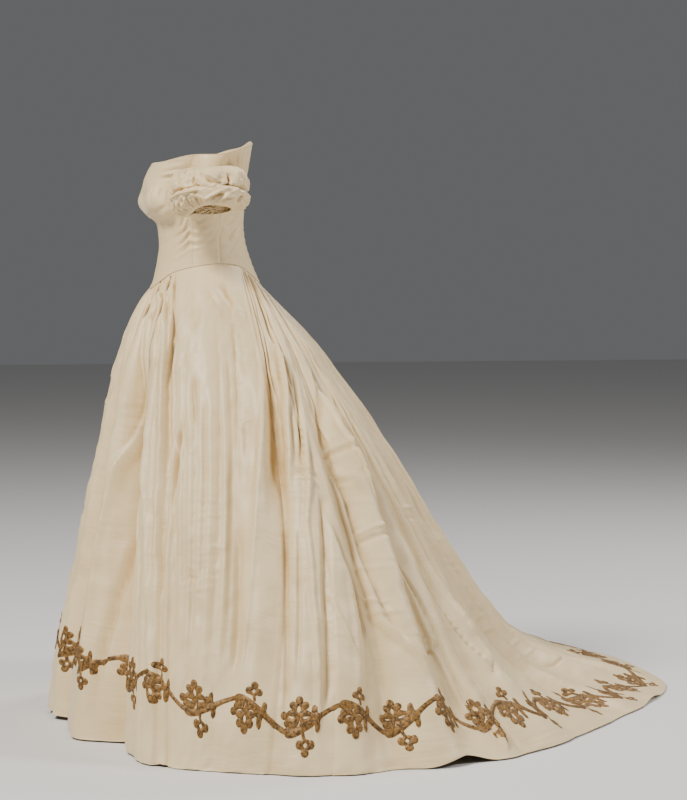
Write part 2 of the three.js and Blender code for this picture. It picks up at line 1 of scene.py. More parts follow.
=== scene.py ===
"""A laced silk ball gown of the 1860s, dressed over its solids.

Surfaces repeat the solids' tables in millimetres, and turn into metres as each mesh is made.
Frame: +Z up, -Y the wearer's front, +X the wearer's left, the train along +Y.
Degrees count round the waist from the front over the wearer's left. A share of the fall runs
from 0 at the waist seam to 1 at the hem.
"""
import math
from functools import partial

import bpy
import numpy as np
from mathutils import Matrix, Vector


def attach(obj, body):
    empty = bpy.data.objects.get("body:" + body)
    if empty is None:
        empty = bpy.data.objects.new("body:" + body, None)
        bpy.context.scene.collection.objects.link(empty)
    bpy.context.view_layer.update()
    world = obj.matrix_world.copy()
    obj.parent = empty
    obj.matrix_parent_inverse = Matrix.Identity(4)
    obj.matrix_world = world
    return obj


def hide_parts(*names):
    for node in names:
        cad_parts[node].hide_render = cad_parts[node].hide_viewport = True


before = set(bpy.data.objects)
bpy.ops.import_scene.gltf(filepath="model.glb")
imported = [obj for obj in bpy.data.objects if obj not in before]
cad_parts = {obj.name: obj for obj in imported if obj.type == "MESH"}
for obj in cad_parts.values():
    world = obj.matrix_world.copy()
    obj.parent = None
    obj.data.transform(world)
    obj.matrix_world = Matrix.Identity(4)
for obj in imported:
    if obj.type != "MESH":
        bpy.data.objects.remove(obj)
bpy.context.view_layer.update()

# ---------------------------------------------------------------- sizes and tables, in millimetres
WAIST_HEIGHT = 990.0      # from the floor to the waist
WALL = 1.6                # silk with its lining
SEAM_GAP = 0.45           # between the skirt and the bodice over it
HEM_LEVELLING = 0.12      # last share of the fall, over which folds level out
SEAM_LAP = 3.0            # how far a sleeve laps over the armhole's edge
SEAM_TUCK = 7.0           # how far the skirt reaches up inside the bodice
CUP_HEIGHT = 20.0         # how far the bust swells out of the torso
CUP_DEG, CUP_Z = 32.0, 150.0
CUP_HALF_DEG, CUP_HALF_Z = 26.0, 44.0
CAP_DEPTH = 28.0          # of the plain band over the upper arm
CAP_BULGE = 34.0          # how far the band's lower edge stands out over the arm
CAP_GAP_DEG = 0.28
CAP_END = 0.999           # share of the band's half length that the upper puff is sewn to
UNDERARM_GAP = 0.75
PUFF_GAP = 0.5
ARMHOLE_DEG, ARMHOLE_HALF, UNDERARM_Z, ARMHOLE_POWER = 84.0, 22.0, 138.0, 3.0
LENGTH_STEP = 0.06        # steps over which the skirt's slope is taken, round it and down it
FALL_STEP = 0.004
PLEAT_RISE = 0.7          # share of a pleat over which it rises
PLEAT_EASE = 0.03         # shares of the fall over which pleats and folds begin
FOLD_EASE = 0.3
MM = 0.001


def table(names, *rows):
    """The columns of a short table, by name."""
    return {name: np.array(column) for name, column in zip(names.split(), zip(*rows))}


TORSO = table(
    "z front back half",
    (-60.0, 121, 135, 128),
    (-30.0, 110, 122, 121),
    (0.0, 103, 109, 117),
    (30.0, 98, 98, 115),
    (60.0, 96, 90, 117),
    (95.0, 103, 87, 124),
    (125.0, 121, 88, 133),
    (155.0, 130, 90, 141),
    (185.0, 131, 92, 154),
    (210.0, 121, 95, 176),
    (240.0, 104, 99, 206),
    (285.0, 96, 104, 226),
)
BODICE_EDGES = table(
    "deg waist neck",
    (0.0, -46, 227),
    (25.0, -28, 227),
    (38.0, -14, 231),
    (60.0, -2, 238),
    (95.0, 8, 240),
    (125.0, 4, 256),
    (140.0, -10, 263),
    (160.0, -31, 267),
    (180.0, -42, 276),
)
# How a length of skirt falls. 0 hangs at the front, 1 at the side and 2 along the train.
FALLS = table(
    "at out0 down0 out1 down1 out2 down2",
    (0.00, 0.000, 0.00, 0.000, 0.00, 0.000, 0.000),
    (0.03, 0.090, 0.03, 0.060, 0.03, 0.045, 0.045),
    (0.08, 0.200, 0.08, 0.150, 0.08, 0.116, 0.120),
    (0.16, 0.320, 0.16, 0.280, 0.16, 0.205, 0.240),
    (0.28, 0.420, 0.28, 0.440, 0.28, 0.312, 0.400),
    (0.42, 0.545, 0.42, 0.600, 0.42, 0.417, 0.580),
    (0.58, 0.680, 0.58, 0.750, 0.58, 0.535, 0.760),
    (0.74, 0.815, 0.74, 0.870, 0.74, 0.645, 0.880),
    (0.88, 0.935, 0.88, 0.955, 0.88, 0.800, 0.950),
    (1.00, 1.000, 1.00, 1.000, 1.00, 1.000, 1.000),
)
# Lengths of the skirt all round: the angle where each leaves the waist, where its hem lies, how
# high the hem clears the floor, how it falls, and how far it sways back half way down.
LENGTHS = table(
    "deg x y lift cut sway",
    (0.0, 0, -322, 9, 0.0, 0),
    (8.0, 125, -300, 5, 0.0, 0),
    (17.0, 285, -256, 4, 0.1, 0),
    (27.0, 478, -186, 3, 0.35, 0),
    (42.0, 530, -160, 2, 0.6, 5),
    (66.0, 558, -132, 2, 0.85, 12),
    (96.0, 588, -86, 2, 1.0, 28),
    (120.0, 622, -24, 2, 1.0, 48),
    (134.0, 676, 85, 2, 1.05, 48),
    (142.0, 678, 235, 2, 1.15, 34),
    (150.0, 640, 392, 3, 1.3, 18),
    (158.0, 588, 542, 4, 1.45, 8),
    (164.0, 432, 710, 4, 1.65, 0),
    (169.5, 238, 868, 4, 1.82, 0),
    (174.8, 52, 1010, 4, 1.95, 0),
    (180.0, -142, 1120, 5, 2.0, 0),
    (185.0, -330, 1135, 12, 1.98, 0),
    (190.0, -505, 1090, 26, 1.9, 0),
    (195.5, -640, 970, 32, 1.75, 0),
    (202.0, -705, 785, 14, 1.55, 5),
    (211.0, -700, 570, 4, 1.35, 15),
    (222.0, -680, 365, 3, 1.15, 30),
    (238.0, -650, 165, 3, 1.05, 45),
    (262.0, -605, 5, 3, 1.0, 35),
    (292.0, -560, -95, 4, 0.9, 15),
    (318.0, -510, -165, 6, 0.6, 5),
    (333.0, -430, -216, 7, 0.35, 0),
    (343.0, -275, -276, 8, 0.1, 0),
    (352.0, -130, -320, 10, 0.0, 0),
)
# Groups of knife pleats: where each starts and ends, how many, and how deep at waist, half and hem.
PLEATS = {
    "front_left": (0.0, 45.0, 7, 5.0, 8.0, 6.0),
    "back_left": (128.0, 180.0, 8, 5.0, 10.0, 9.0),
    "back_right": (232.0, 180.0, 8, 5.0, 10.0, 9.0),
    "front_right": (360.0, 315.0, 7, 5.0, 8.0, 6.0),
}
# The largest folds: the angle at the waist and at the hem, height, half width at the top and at
# the hem, and the stretch of the fall that each takes up.
FOLDS = (
    (354.0, 351, 6, 30, 80, 0.15, 1.3),
    (361.5, 361, -36, 25, 70, 0.12, 1.3),
    (11.0, 11.5, 22, 25, 72, 0.06, 1.3),
    (17.5, 18.2, -60, 25, 85, 0.1, 1.3),
    (26.5, 27, 18, 20, 65, 0.1, 1.3),
    (40.0, 40, -12, 22, 40, 0.02, 0.6),
    (122.0, 120, 14, 20, 60, 0.12, 1.1),
    (129.0, 127, -9, 20, 48, 0.08, 0.9),
    (138.0, 139, 16, 18, 75, 0.1, 1.2),
    (143.0, 144, -22, 16, 80, 0.12, 1.2),
    (149.0, 150, 20, 16, 90, 0.1, 1.2),
    (155.0, 156, -20, 16, 90, 0.1, 1.1),
    (163.0, 163, 18, 18, 110, 0.12, 1.1),
    (170.0, 171, -20, 18, 90, 0.2, 1.05),
    (179.0, 184, 26, 24, 120, 0.62, 1.0),
    (188.0, 190, -22, 20, 90, 0.3, 1.05),
    (197.0, 197, 20, 16, 100, 0.1, 1.1),
    (208.0, 207, -24, 16, 90, 0.1, 1.2),
    (222.0, 221, 20, 16, 80, 0.1, 1.2),
    (231.0, 231, -32, 18, 60, 0.08, 0.95),
    (240.0, 242, 14, 20, 60, 0.12, 1.1),
    (322.0, 322, -12, 22, 40, 0.02, 0.6),
    (334.0, 334, 26, 20, 65, 0.1, 1.3),
    (343.0, 344, -52, 25, 80, 0.1, 1.3),
)


# ---------------------------------------------------------------- curves through tables
def hermite(s, p0, p1, m0, m1):
    s2, s3 = s * s, s * s * s
    return (2 * s3 - 3 * s2 + 1) * p0 + (s3 - 2 * s2 + s) * m0 + (3 * s2 - 2 * s3) * p1 + (s3 - s2) * m1


def value(rows, key, at, column):
    """One column of a table, smooth between its rows and level past its ends."""
    x, y = rows[key].astype(float), rows[column].astype(float)
    at = np.clip(at, x[0], x[-1])
    slope = np.zeros(len(x))
    slope[1:-1] = (y[2:] - y[:-2]) / (x[2:] - x[:-2])
    low = np.clip(np.searchsorted(x, at, side="right") - 1, 0, len(x) - 2)
    span = x[low + 1] - x[low]
    return hermite((at - x[low]) / span, y[low], y[low + 1], slope[low] * span, slope[low + 1] * span)


def length_value(k, column):
    """The closed ring of skirt lengths, at a place k counted in rows."""
    k = np.asarray(k, float)
    low = np.floor(k).astype(int)
    own = LENGTHS[column].astype(float)

    def at(i):
        turn, row = np.divmod(i, len(own))
        return own[row] + (360.0 * turn if column == "deg" else 0.0)

    p0, p1, p2, p3 = (at(low + i) for i in (-1, 0, 1, 2))
    return hermite(k - low, p1, p2, (p2 - p0) / 2, (p3 - p1) / 2)


ROWS_ROUND = len(LENGTHS["deg"])
PLACE_STEPS = 12001
ALL_PLACES = np.linspace(-ROWS_ROUND, 2 * ROWS_ROUND, PLACE_STEPS)
ALL_DEGREES = length_value(ALL_PLACES, "deg")


def place_of(deg):
    """The place k whose length leaves the waist at an angle."""
    return np.interp(deg, ALL_DEGREES, ALL_PLACES)


def smooth(x):
    x = np.clip(x, 0.0, 1.0)
    return x * x * (3 - 2 * x)


def bump(x):
    return np.where(np.abs(x) < 1, (1 + np.cos(math.pi * np.clip(x, -1, 1))) / 2, 0.0)


def mix(a, b, s):
    return a + (b - a) * s


# ---------------------------------------------------------------- the surfaces of the solids
def side_deg(deg):
    turned = np.mod(deg, 360.0)
    return np.where(turned > 180, 360 - turned, turned)


def waist_seam(deg):
    return value(BODICE_EDGES, "deg", side_deg(deg), "waist")


def neckline(deg):
    return value(BODICE_EDGES, "deg", side_deg(deg), "neck")


def upper_edge(deg):
    across = np.abs(side_deg(deg) - ARMHOLE_DEG) / ARMHOLE_HALF
    dip = mix(UNDERARM_Z, neckline(deg), np.minimum(across, 1.0) ** ARMHOLE_POWER)
    return np.where(across >= 1, neckline(deg), dip)


def torso_point(deg, z, out=0.0):
    deg, z = np.broadcast_arrays(np.asarray(deg, float), np.asarray(z, float))
    turned = np.radians(deg)
    half = value(TORSO, "z", z, "half")
    reach = np.where(np.cos(turned) > 0, value(TORSO, "z", z, "front"), value(TORSO, "z", z, "back"))
    cup = CUP_HEIGHT * bump((side_deg(deg) - CUP_DEG) / CUP_HALF_DEG) * bump((z - CUP_Z) / CUP_HALF_Z)
    x = (half + out + cup) * np.sin(turned)
    y = -(reach + out + cup) * np.cos(turned)
    return np.stack([x, y, z], axis=-1)


def bodice_surface(deg, rise):
    return torso_point(deg, mix(waist_seam(deg), upper_edge(deg), rise))


def fall_share(kind, along, cut):
    front, side, train = (value(FALLS, "at", along, f"{kind}{i}") for i in (0, 1, 2))
    return np.where(cut <= 1, mix(front, side, cut), mix(side, train, np.minimum(cut, 2) - 1))


def plain_skirt(k, along):
    """The skirt without its folds. along is 0 at the waist seam and 1 at the hem."""
    k, along = np.broadcast_arrays(np.asarray(k, float), np.asarray(along, float))
    deg, cut = length_value(k, "deg"), length_value(k, "cut")
    top = torso_point(deg, waist_seam(deg) - SEAM_GAP, -WALL - SEAM_GAP)
    x, y, lift = (length_value(k, column) for column in ("x", "y", "lift"))
    hem = np.stack([x, y, lift - WAIST_HEIGHT], axis=-1)
    out = fall_share("out", along, cut)[..., None]
    down = fall_share("down", along, cut)
    point = mix(top, hem, out)
    point[..., 2] = mix(top[..., 2], hem[..., 2], down)
    point[..., 1] += length_value(k, "sway") * np.sin(math.pi * np.clip(along, 0, 1))
    return point


def pleat_wave(phase):
    turn = phase - np.floor(phase)
    falling = bump((turn - PLEAT_RISE) / (1 - PLEAT_RISE))
    return np.where(turn < PLEAT_RISE, bump(1 - turn / PLEAT_RISE), falling)


def pleat_height(k, along):
    turned = np.mod(k, ROWS_ROUND)
    height = np.zeros(np.broadcast(k, along).shape)
    for start, end, count, waist, half, hem in PLEATS.values():
        first, last = place_of(start), place_of(end)
        phase = (turned - first) / (last - first) * count
        depth = np.where(along < 0.5, mix(waist, half, along / 0.5), mix(half, hem, along / 0.5 - 1))
        own = depth * (pleat_wave(phase) - 0.5) * smooth(along / PLEAT_EASE)
        height = np.where((phase >= 0) & (phase <= count), own, height)
    return height


def fold_height(k, along):
    here = plain_skirt(k, along)
    height = np.zeros(here.shape[:-1])
    for deg, hem_deg, high, top, hem, start, end in FOLDS:
        centre = plain_skirt(mix(place_of(deg), place_of(hem_deg), along), along)
        across = np.linalg.norm(here - centre, axis=-1) / mix(top, hem, along)
        eased = smooth((along - start) / FOLD_EASE) * smooth((end - along) / FOLD_EASE)
        height += high * bump(across) * eased
    return height


def normal_of(surface, u, v, step_u, step_v):
    along_u = surface(u + step_u, v) - surface(u - step_u, v)
    along_v = surface(u, v + step_v) - surface(u, v - step_v)
    across = np.cross(along_v, along_u)
    return across / np.linalg.norm(across, axis=-1, keepdims=True)


def skirt_frame(k, along):
    """Points of the skirt's solid, the outward direction that levels out at the hem, and the relief."""
    outward = normal_of(plain_skirt, k, np.minimum(along, 1 - FALL_STEP), LENGTH_STEP, FALL_STEP)
    outward[..., 2] *= smooth((1 - along) / HEM_LEVELLING)
    height = pleat_height(k, along) + fold_height(k, along)
    return plain_skirt(k, along) + outward * height[..., None], outward, height


# ---------------------------------------------------------------- creases listed one by one
# Each: height in mm (troughs below nought), half width, lean (under 1 for a steeper far side), the
# shares of its length over which it fades in and out, and its line as (degree, share of the fall).
SKIRT_CREASES = (
    # front pleats that open into the skirt
    (-8, 6.5, 1.0, 0.02, 0.25, ((23, 0.002), (19, 0.022), (15, 0.047), (13, 0.075), (12, 0.12),
        (11.5, 0.17))),
    (-9, 7.5, 1.0, 0.01, 0.08, ((38.5, 0.007), (28.5, 0.04), (22.5, 0.09), (20.5, 0.15), (20, 0.24),
        (20.5, 0.34),
                              (21.2, 0.49), (22.5, 0.6), (23.7, 0.78), (24.2, 0.95))),
    (-5, 6, 1.0, 0.05, 0.4, ((44, 0.02), (42, 0.07), (39, 0.12), (36, 0.18), (33, 0.26))),
    (7, 8, 0.5, 0.1, 0.4, ((31, 0.01), (21.5, 0.045), (17, 0.1), (16.5, 0.17), (17, 0.26))),
    (6, 9, 0.5, 0.1, 0.4, ((41, 0.02), (33, 0.06), (28, 0.12), (26, 0.2), (25.5, 0.3))),
    (-12, 16, 0.7, 0.3, 0.5, ((40, 0.06), (41, 0.14), (35, 0.20), (31, 0.26))),
    (12, 13, 0.7, 0.2, 0.3, ((18.5, 0.2), (13.5, 0.42), (12.2, 0.58), (12, 0.72), (12, 0.9))),
    (-16, 16, 0.6, 0.25, 0.25, ((22, 0.32), (19, 0.43), (16.5, 0.56), (15, 0.69), (14.5, 0.8), (14, 0.95))),
    (-5, 4, 0.6, 0.2, 0.3, ((10.5, 0.4), (10.5, 0.5), (10.8, 0.62), (11, 0.74))),
    (9, 16, 0.8, 0.3, 0.2, ((24, 0.2), (25, 0.42), (27, 0.58), (30, 0.79), (32, 0.95))),
    (-7, 10, 0.8, 0.3, 0.4, ((33, 0.38), (32, 0.44), (33, 0.58), (36, 0.7))),
    (-15, 17, 0.5, 0.3, 0.3, ((60, 0.31), (50, 0.35), (44, 0.41), (41.5, 0.47), (43, 0.54))),
    (-7, 16, 1.0, 0.3, 0.3, ((69, 0.22), (68, 0.28), (70, 0.34))),
    (7, 22, 1.0, 0.4, 0.5, ((92, 0.045), (100, 0.075), (108, 0.11))),
    (-5, 24, 1.0, 0.4, 0.5, ((96, 0.04), (104, 0.065), (112, 0.10))),
    # the deep side folds and the back, as they fan out
    (-4, 12, 0.8, 0.2, 0.3, ((111, 0.12), (109, 0.2), (107, 0.36), (107, 0.5))),
    (12, 26, 0.6, 0.3, 0.4, ((130, 0.14), (124, 0.33), (119.5, 0.46), (118, 0.55), (115.5, 0.70))),
    (8, 10, 0.6, 0.2, 0.3, ((122.5, 0.3), (118.5, 0.47), (117, 0.575), (115, 0.745), (114, 0.9))),
    (-9, 18, 0.8, 0.3, 0.3, ((107, 0.48), (108, 0.6), (109.5, 0.7), (112, 0.86))),
    (-10, 27, 0.6, 0.22, 0.3, ((134.5, 0.14), (131.5, 0.21), (128.5, 0.28), (126.3, 0.36),
        (125.3, 0.44), (127, 0.51))),
    (17, 11, 0.8, 0.25, 0.3, ((140, 0.1), (137, 0.19), (133.5, 0.31), (131.2, 0.43), (130.5, 0.5))),
    (-9, 12, 0.6, 0.3, 0.35, ((141.5, 0.17), (140, 0.22), (138, 0.29), (135.5, 0.385), (134.8, 0.44))),
    (13, 11, 0.6, 0.2, 0.2, ((139, 0.25), (137.8, 0.32), (136, 0.43), (134.5, 0.51), (134.8, 0.65),
        (135.8, 0.83),
                             (136, 0.95))),
    (-9, 9, 0.6, 0.3, 0.3, ((132.5, 0.5), (132, 0.62), (132, 0.72), (132, 0.86))),
    (-9, 10, 0.7, 0.2, 0.3, ((128.5, 0.5), (128.5, 0.66), (130, 0.84), (130.5, 0.95))),
    (-13, 20, 0.6, 0.25, 0.2, ((139.3, 0.4), (138.2, 0.48), (137, 0.62), (137, 0.8), (136.5, 0.9))),
    (-8, 19, 0.8, 0.3, 0.2, ((156, 0.13), (150.5, 0.2), (147, 0.26), (143.7, 0.33), (142, 0.365))),
    (8, 22, 0.7, 0.3, 0.5, ((144, 0.375), (147, 0.395), (149, 0.42))),
    (14, 16, 0.5, 0.2, 0.2, ((143.5, 0.36), (144.5, 0.54), (145.7, 0.68), (149, 0.76), (151, 0.83))),
    (-14, 17, 0.6, 0.3, 0.2, ((138.5, 0.47), (140.5, 0.55), (142, 0.61), (143, 0.69), (142.7, 0.75))),
    (6, 7, 0.6, 0.2, 0.3, ((137.2, 0.63), (139.3, 0.71), (141.5, 0.79))),
    (-8, 9, 0.6, 0.2, 0.3, ((146, 0.6), (147, 0.68), (148, 0.75))),
    (10, 15, 0.6, 0.15, 0.2, ((149.5, 0.2), (149, 0.3), (152, 0.45), (155, 0.6), (156, 0.69),
        (156, 0.84), (156, 0.95))),
    (-10, 6, 0.6, 0.15, 0.2, ((151, 0.18), (150.5, 0.3), (153.5, 0.45), (156.5, 0.6), (157.5, 0.69),
        (157.2, 0.84),
                             (157, 0.93))),
    (-10, 6, 0.6, 0.15, 0.2, ((156, 0.12), (158, 0.3), (159, 0.45), (159.5, 0.54), (161.5, 0.7),
        (162.3, 0.77),
                             (163, 0.88))),
    (9, 12, 0.6, 0.15, 0.2, ((158, 0.14), (160.5, 0.3), (161.3, 0.45), (161.7, 0.56), (163, 0.7),
        (163.5, 0.84))),
    (-10, 6, 0.6, 0.15, 0.2, ((161, 0.08), (163.5, 0.2), (165, 0.36), (165, 0.52), (165, 0.67),
        (164.5, 0.82))),
    (8, 20, 1.0, 0.4, 0.4, ((141, 0.5), (141.5, 0.66), (141, 0.8), (140, 0.9))),
    # short crinkles across the silk
    (-6, 10, 0.6, 0.25, 0.4, ((142, 0.362), (145, 0.352), (149, 0.342), (153, 0.33))),
    (5, 8, 0.6, 0.3, 0.3, ((143, 0.347), (147, 0.336), (152, 0.32))),
    (-4, 8, 0.6, 0.4, 0.3, ((147, 0.385), (152, 0.38), (158, 0.365))),
    (6, 8, 0.6, 0.35, 0.3, ((143.5, 0.512), (148, 0.494), (152, 0.48), (155.5, 0.467))),
    (-7, 11, 0.8, 0.35, 0.3, ((143.5, 0.53), (148, 0.511), (152, 0.497), (156, 0.484))),
    (6, 8, 0.5, 0.3, 0.3, ((132.6, 0.405), (134.5, 0.402), (137.2, 0.412))),
    (-5, 7, 0.8, 0.3, 0.3, ((132.4, 0.416), (134.5, 0.414), (137.3, 0.424))),
    (5, 7, 0.6, 0.3, 0.3, ((132.6, 0.428), (134.6, 0.426), (137.4, 0.436))),
    (6, 8, 0.6, 0.35, 0.3, ((151, 0.715), (153.5, 0.703), (157, 0.692))),
    (-8, 9, 0.7, 0.35, 0.3, ((151, 0.75), (154, 0.732), (157.5, 0.71))),
    (5, 10, 0.7, 0.35, 0.35, ((160, 0.42), (165, 0.415), (170, 0.43))),
    (-5, 10, 0.7, 0.35, 0.35, ((160, 0.44), (165, 0.435), (171, 0.45))),
    (5, 9, 0.7, 0.35, 0.35, ((164, 0.31), (168, 0.30), (173, 0.315))),
    (4, 8, 0.7, 0.4, 0.4, ((60, 0.62), (68, 0.612), (78, 0.622))),
    (-4, 9, 0.7, 0.4, 0.4, ((58, 0.64), (68, 0.632), (80, 0.64))),
    (4, 8, 0.7, 0.4, 0.4, ((84, 0.58), (92, 0.572), (100, 0.582))),
    (3.5, 8, 0.7, 0.4, 0.4, ((140, 0.64), (144, 0.632), (147, 0.645))),
    (5.1, 8, 0.7, 0.4, 0.4, ((172, 0.585), (175.5, 0.59), (176.5, 0.60), (174, 0.625))),
    (-10.4, 6, 0.7, 0.4, 0.4, ((163, 0.765), (162.4, 0.79), (162, 0.81))),
    (-9.1, 7, 0.7, 0.4, 0.4, ((175.5, 0.80), (177, 0.82), (180, 0.825))),
    (15.6, 16, 0.5, 0.4, 0.3, ((157.4, 0.86), (158, 0.93), (157.2, 0.985))),
    (-11.7, 12, 0.7, 0.4, 0.3, ((159, 0.88), (159.4, 0.94), (159, 0.99))),
    # the wearer's right, of the same kinds
    (-10.4, 8, 0.6, 0.05, 0.4, ((338, 0.01), (341, 0.05), (344, 0.11), (345, 0.18))),
    (-11.7, 8, 0.6, 0.05, 0.4, ((326, 0.01), (334, 0.05), (339, 0.10), (340, 0.2))),
    (-10.4, 18, 0.8, 0.3, 0.5, ((320, 0.06), (319, 0.15), (326, 0.24))),
    (10.4, 14, 0.5, 0.2, 0.3, ((349, 0.08), (349.5, 0.25), (349, 0.5), (349, 0.78))),
    (10.4, 18, 0.6, 0.2, 0.3, ((333, 0.2), (331, 0.45), (331, 0.68), (330, 0.88))),
    (-10.4, 22, 1.0, 0.3, 0.3, ((322, 0.28), (321, 0.4), (317, 0.48))),
    (-6.5, 18, 1.0, 0.3, 0.3, ((291, 0.2), (292, 0.3), (289, 0.38))),
    (6.5, 22, 1.0, 0.4, 0.5, ((264, 0.045), (256, 0.08), (250, 0.12))),
    (11.7, 26, 0.6, 0.3, 0.5, ((233, 0.18), (236, 0.34), (240, 0.48), (244, 0.7))),
    (-15.6, 16, 0.7, 0.3, 0.4, ((229, 0.14), (228, 0.24), (229, 0.4), (231, 0.6))),
    (10.4, 12, 0.6, 0.3, 0.4, ((225, 0.2), (225.5, 0.32), (226, 0.44))),
    (-13, 10, 0.6, 0.2, 0.4, ((224, 0.4), (223, 0.52), (223, 0.78))),
    (11.7, 20, 0.6, 0.3, 0.4, ((214, 0.27), (215, 0.44), (215.5, 0.66))),
    (-10.4, 14, 0.7, 0.3, 0.4, ((210, 0.3), (211, 0.5), (211, 0.74))),
    (13, 22, 0.6, 0.25, 0.3, ((203, 0.27), (203, 0.46), (203, 0.7), (202, 0.92))),
    (-11.7, 12, 0.7, 0.2, 0.3, ((200, 0.3), (200, 0.55), (200, 0.86))),
    (-7.8, 7, 0.6, 0.1, 0.2, ((206, 0.08), (197, 0.24), (196, 0.46), (197, 0.86))),
    (9.1, 22, 0.8, 0.3, 0.3, ((191, 0.3), (191, 0.52), (191, 0.78))),
    (-9.1, 18, 0.8, 0.3, 0.3, ((184, 0.2), (183, 0.42), (182, 0.62))),
    (10.4, 24, 0.8, 0.3, 0.3, ((176, 0.25), (176, 0.46), (176, 0.66))),
    (-7.8, 16, 0.8, 0.3, 0.3, ((171, 0.3), (171, 0.5), (171.5, 0.7))),
    (4.4, 6, 0.6, 0.4, 0.4, ((216, 0.5), (212, 0.485), (208, 0.5))),
    (6, 8, 0.6, 0.4, 0.4, ((207, 0.72), (203, 0.705), (199, 0.72))),
    (4.1, 5, 0.8, 0.4, 0.4, ((230, 0.40), (226, 0.395), (223, 0.41))),
    # the train's middle, which hides its far side
    (20, 90, 0.8, 0.3, 0.2, ((177, 0.72), (179, 0.84), (181, 0.93), (182, 1.0))),
    (-10, 60, 1.0, 0.3, 0.2, ((170, 0.80), (171, 0.90), (172, 0.98))),
)
# Fields of faint crinkles across the silk: degrees and shares of the fall between which they lie,
# how many, their height and half width.
CRINKLE_FIELDS = (
    (104, 122, 0.10, 0.36, 13, 2.3, 9),
    (62, 78, 0.18, 0.40, 9, 1.9, 9),
    (44, 110, 0.48, 0.68, 16, 2.1, 10),
    (138, 158, 0.34, 0.72, 12, 2.5, 10),
    (20, 40, 0.2, 0.6, 8, 1.9, 9),
    (244, 300, 0.1, 0.42, 14, 2.3, 9),
    (250, 318, 0.48, 0.7, 14, 2.1, 10),
    (200, 226, 0.34, 0.74, 12, 2.5, 10),
    (164, 196, 0.4, 0.8, 12, 2.5, 10),
    (340, 362, 0.2, 0.6, 8, 1.9, 9),
)
# Where the hem lifts off the floor: degree, half width in rows of LENGTHS and height.
HEM_ARCHES = (
    (152.0, 0.55, 16),
    (19.0, 0.3, 5),
    (40.0, 0.5, 4),
    (210.0, 0.6, 12),
    (176.0, 0.35, 7),
    (330.0, 0.4, 6),
)
ARCH_START = 0.9          # the share of the fall where the arches begin
CREASE_STEPS = 9
CREASE_MARGIN = 1.5       # how far beside a crease, in half widths, points are looked at
CREASE_CRISPNESS = 0.6
CRISP_WIDTH, SOFT_WIDTH = 7.0, 22.0


def crease_section(x, width):
    """A ridge from 1 in its middle to 0 at its foot. Narrow ones are crisp and wide ones round."""
    x = np.clip(x, 0, 1)
    crisp = CREASE_CRISPNESS * (1 - smooth((width - CRISP_WIDTH) / (SOFT_WIDTH - CRISP_WIDTH)))
    return mix(bump(x), (1 - x) ** 2, crisp)


def crease_height(points, outward, surface, creases):
    """How far creases raise the points of a surface. Their lines are (u, v) places on it."""
    shape = points.shape[:-1]
    points, outward = points.reshape(-1, 3), outward.reshape(-1, 3)
    height = np.zeros(len(points))
    for high, width, lean, fade_in, fade_out, line in creases:
        along = np.linspace(0, len(line) - 1, CREASE_STEPS * (len(line) - 1) + 1)
        u, v = (np.interp(along, range(len(line)), column) for column in zip(*line))
        path = surface(u, v)
        share = np.concatenate(([0.0], np.cumsum(np.linalg.norm(np.diff(path, axis=0), axis=1))))
        share /= share[-1]
        margin = CREASE_MARGIN * width
        near = np.all((points > path.min(0) - margin) & (points < path.max(0) + margin), axis=1)
        here, out = points[near], outward[near]
        best = np.full(len(here), np.inf)
        place = np.zeros(len(here))
        side = np.zeros(len(here))
        for i in range(len(path) - 1):
            step = path[i + 1] - path[i]
            from_start = here - path[i]
            part = np.clip(from_start @ step / (step @ step), 0, 1)
            away = from_start - part[:, None] * step
            distance = np.linalg.norm(away, axis=1)
            closer = distance < best
            best = np.where(closer, distance, best)
            place = np.where(closer, mix(share[i], share[i + 1], part), place)
            turned = np.einsum("ij,ij->i", np.cross(step, away), out)
            side = np.where(closer, np.sign(turned), side)
        own_width = np.where(side > 0, width, width * lean)
        fade = smooth(place / fade_in) * smooth((1 - place) / fade_out)
        height[near] += high * crease_section(best / own_width, width) * fade
    return height.reshape(shape)


def crinkles(fields, seed):
    """Short faint creases that run round the skirt, scattered evenly over each field."""
    rng = np.random.default_rng(seed)
    rows = []
    for deg_a, deg_b, along_a, along_b, count, high, width in fields:
        for i in range(count):
            middle = mix(along_a, along_b, (i + rng.uniform(0.2, 0.8)) / count)
            centre = mix(deg_a, deg_b, rng.uniform(0.25, 0.75))
            half = (deg_b - deg_a) * rng.uniform(0.12, 0.3)
            bend = rng.uniform(-0.006, 0.006)
            line = ((centre - half, middle - bend), (centre, middle), (centre + half, middle + bend))
            rows.append((high * rng.uniform(0.5, 1.2), width * rng.uniform(0.7, 1.3), 0.6, 0.45, 0.45, line))
    return tuple(rows)


def falls(fields, seed):
    """Soft folds that hang straight down, spaced unevenly over each field."""
    rng = np.random.default_rng(seed)
    rows = []
    for deg_a, deg_b, count, high, width in fields:
        for i in range(count):
            deg = mix(deg_a, deg_b, (i + rng.uniform(0.2, 0.8)) / count)
            start, end = rng.uniform(0.06, 0.22), rng.uniform(0.7, 0.97)
            drift = (deg_b - deg_a) / count * rng.uniform(-0.4, 0.4)
            line = ((deg - drift, start), (deg, (start + end) / 2), (deg + drift, end))
            sign = 1 if i % 2 else -1
            own_high, own_width = sign * high * rng.uniform(0.6, 1.3), width * rng.uniform(0.6, 1.4)
            rows.append((own_high, own_width, 0.6, 0.35, 0.35, line))
    return tuple(rows)


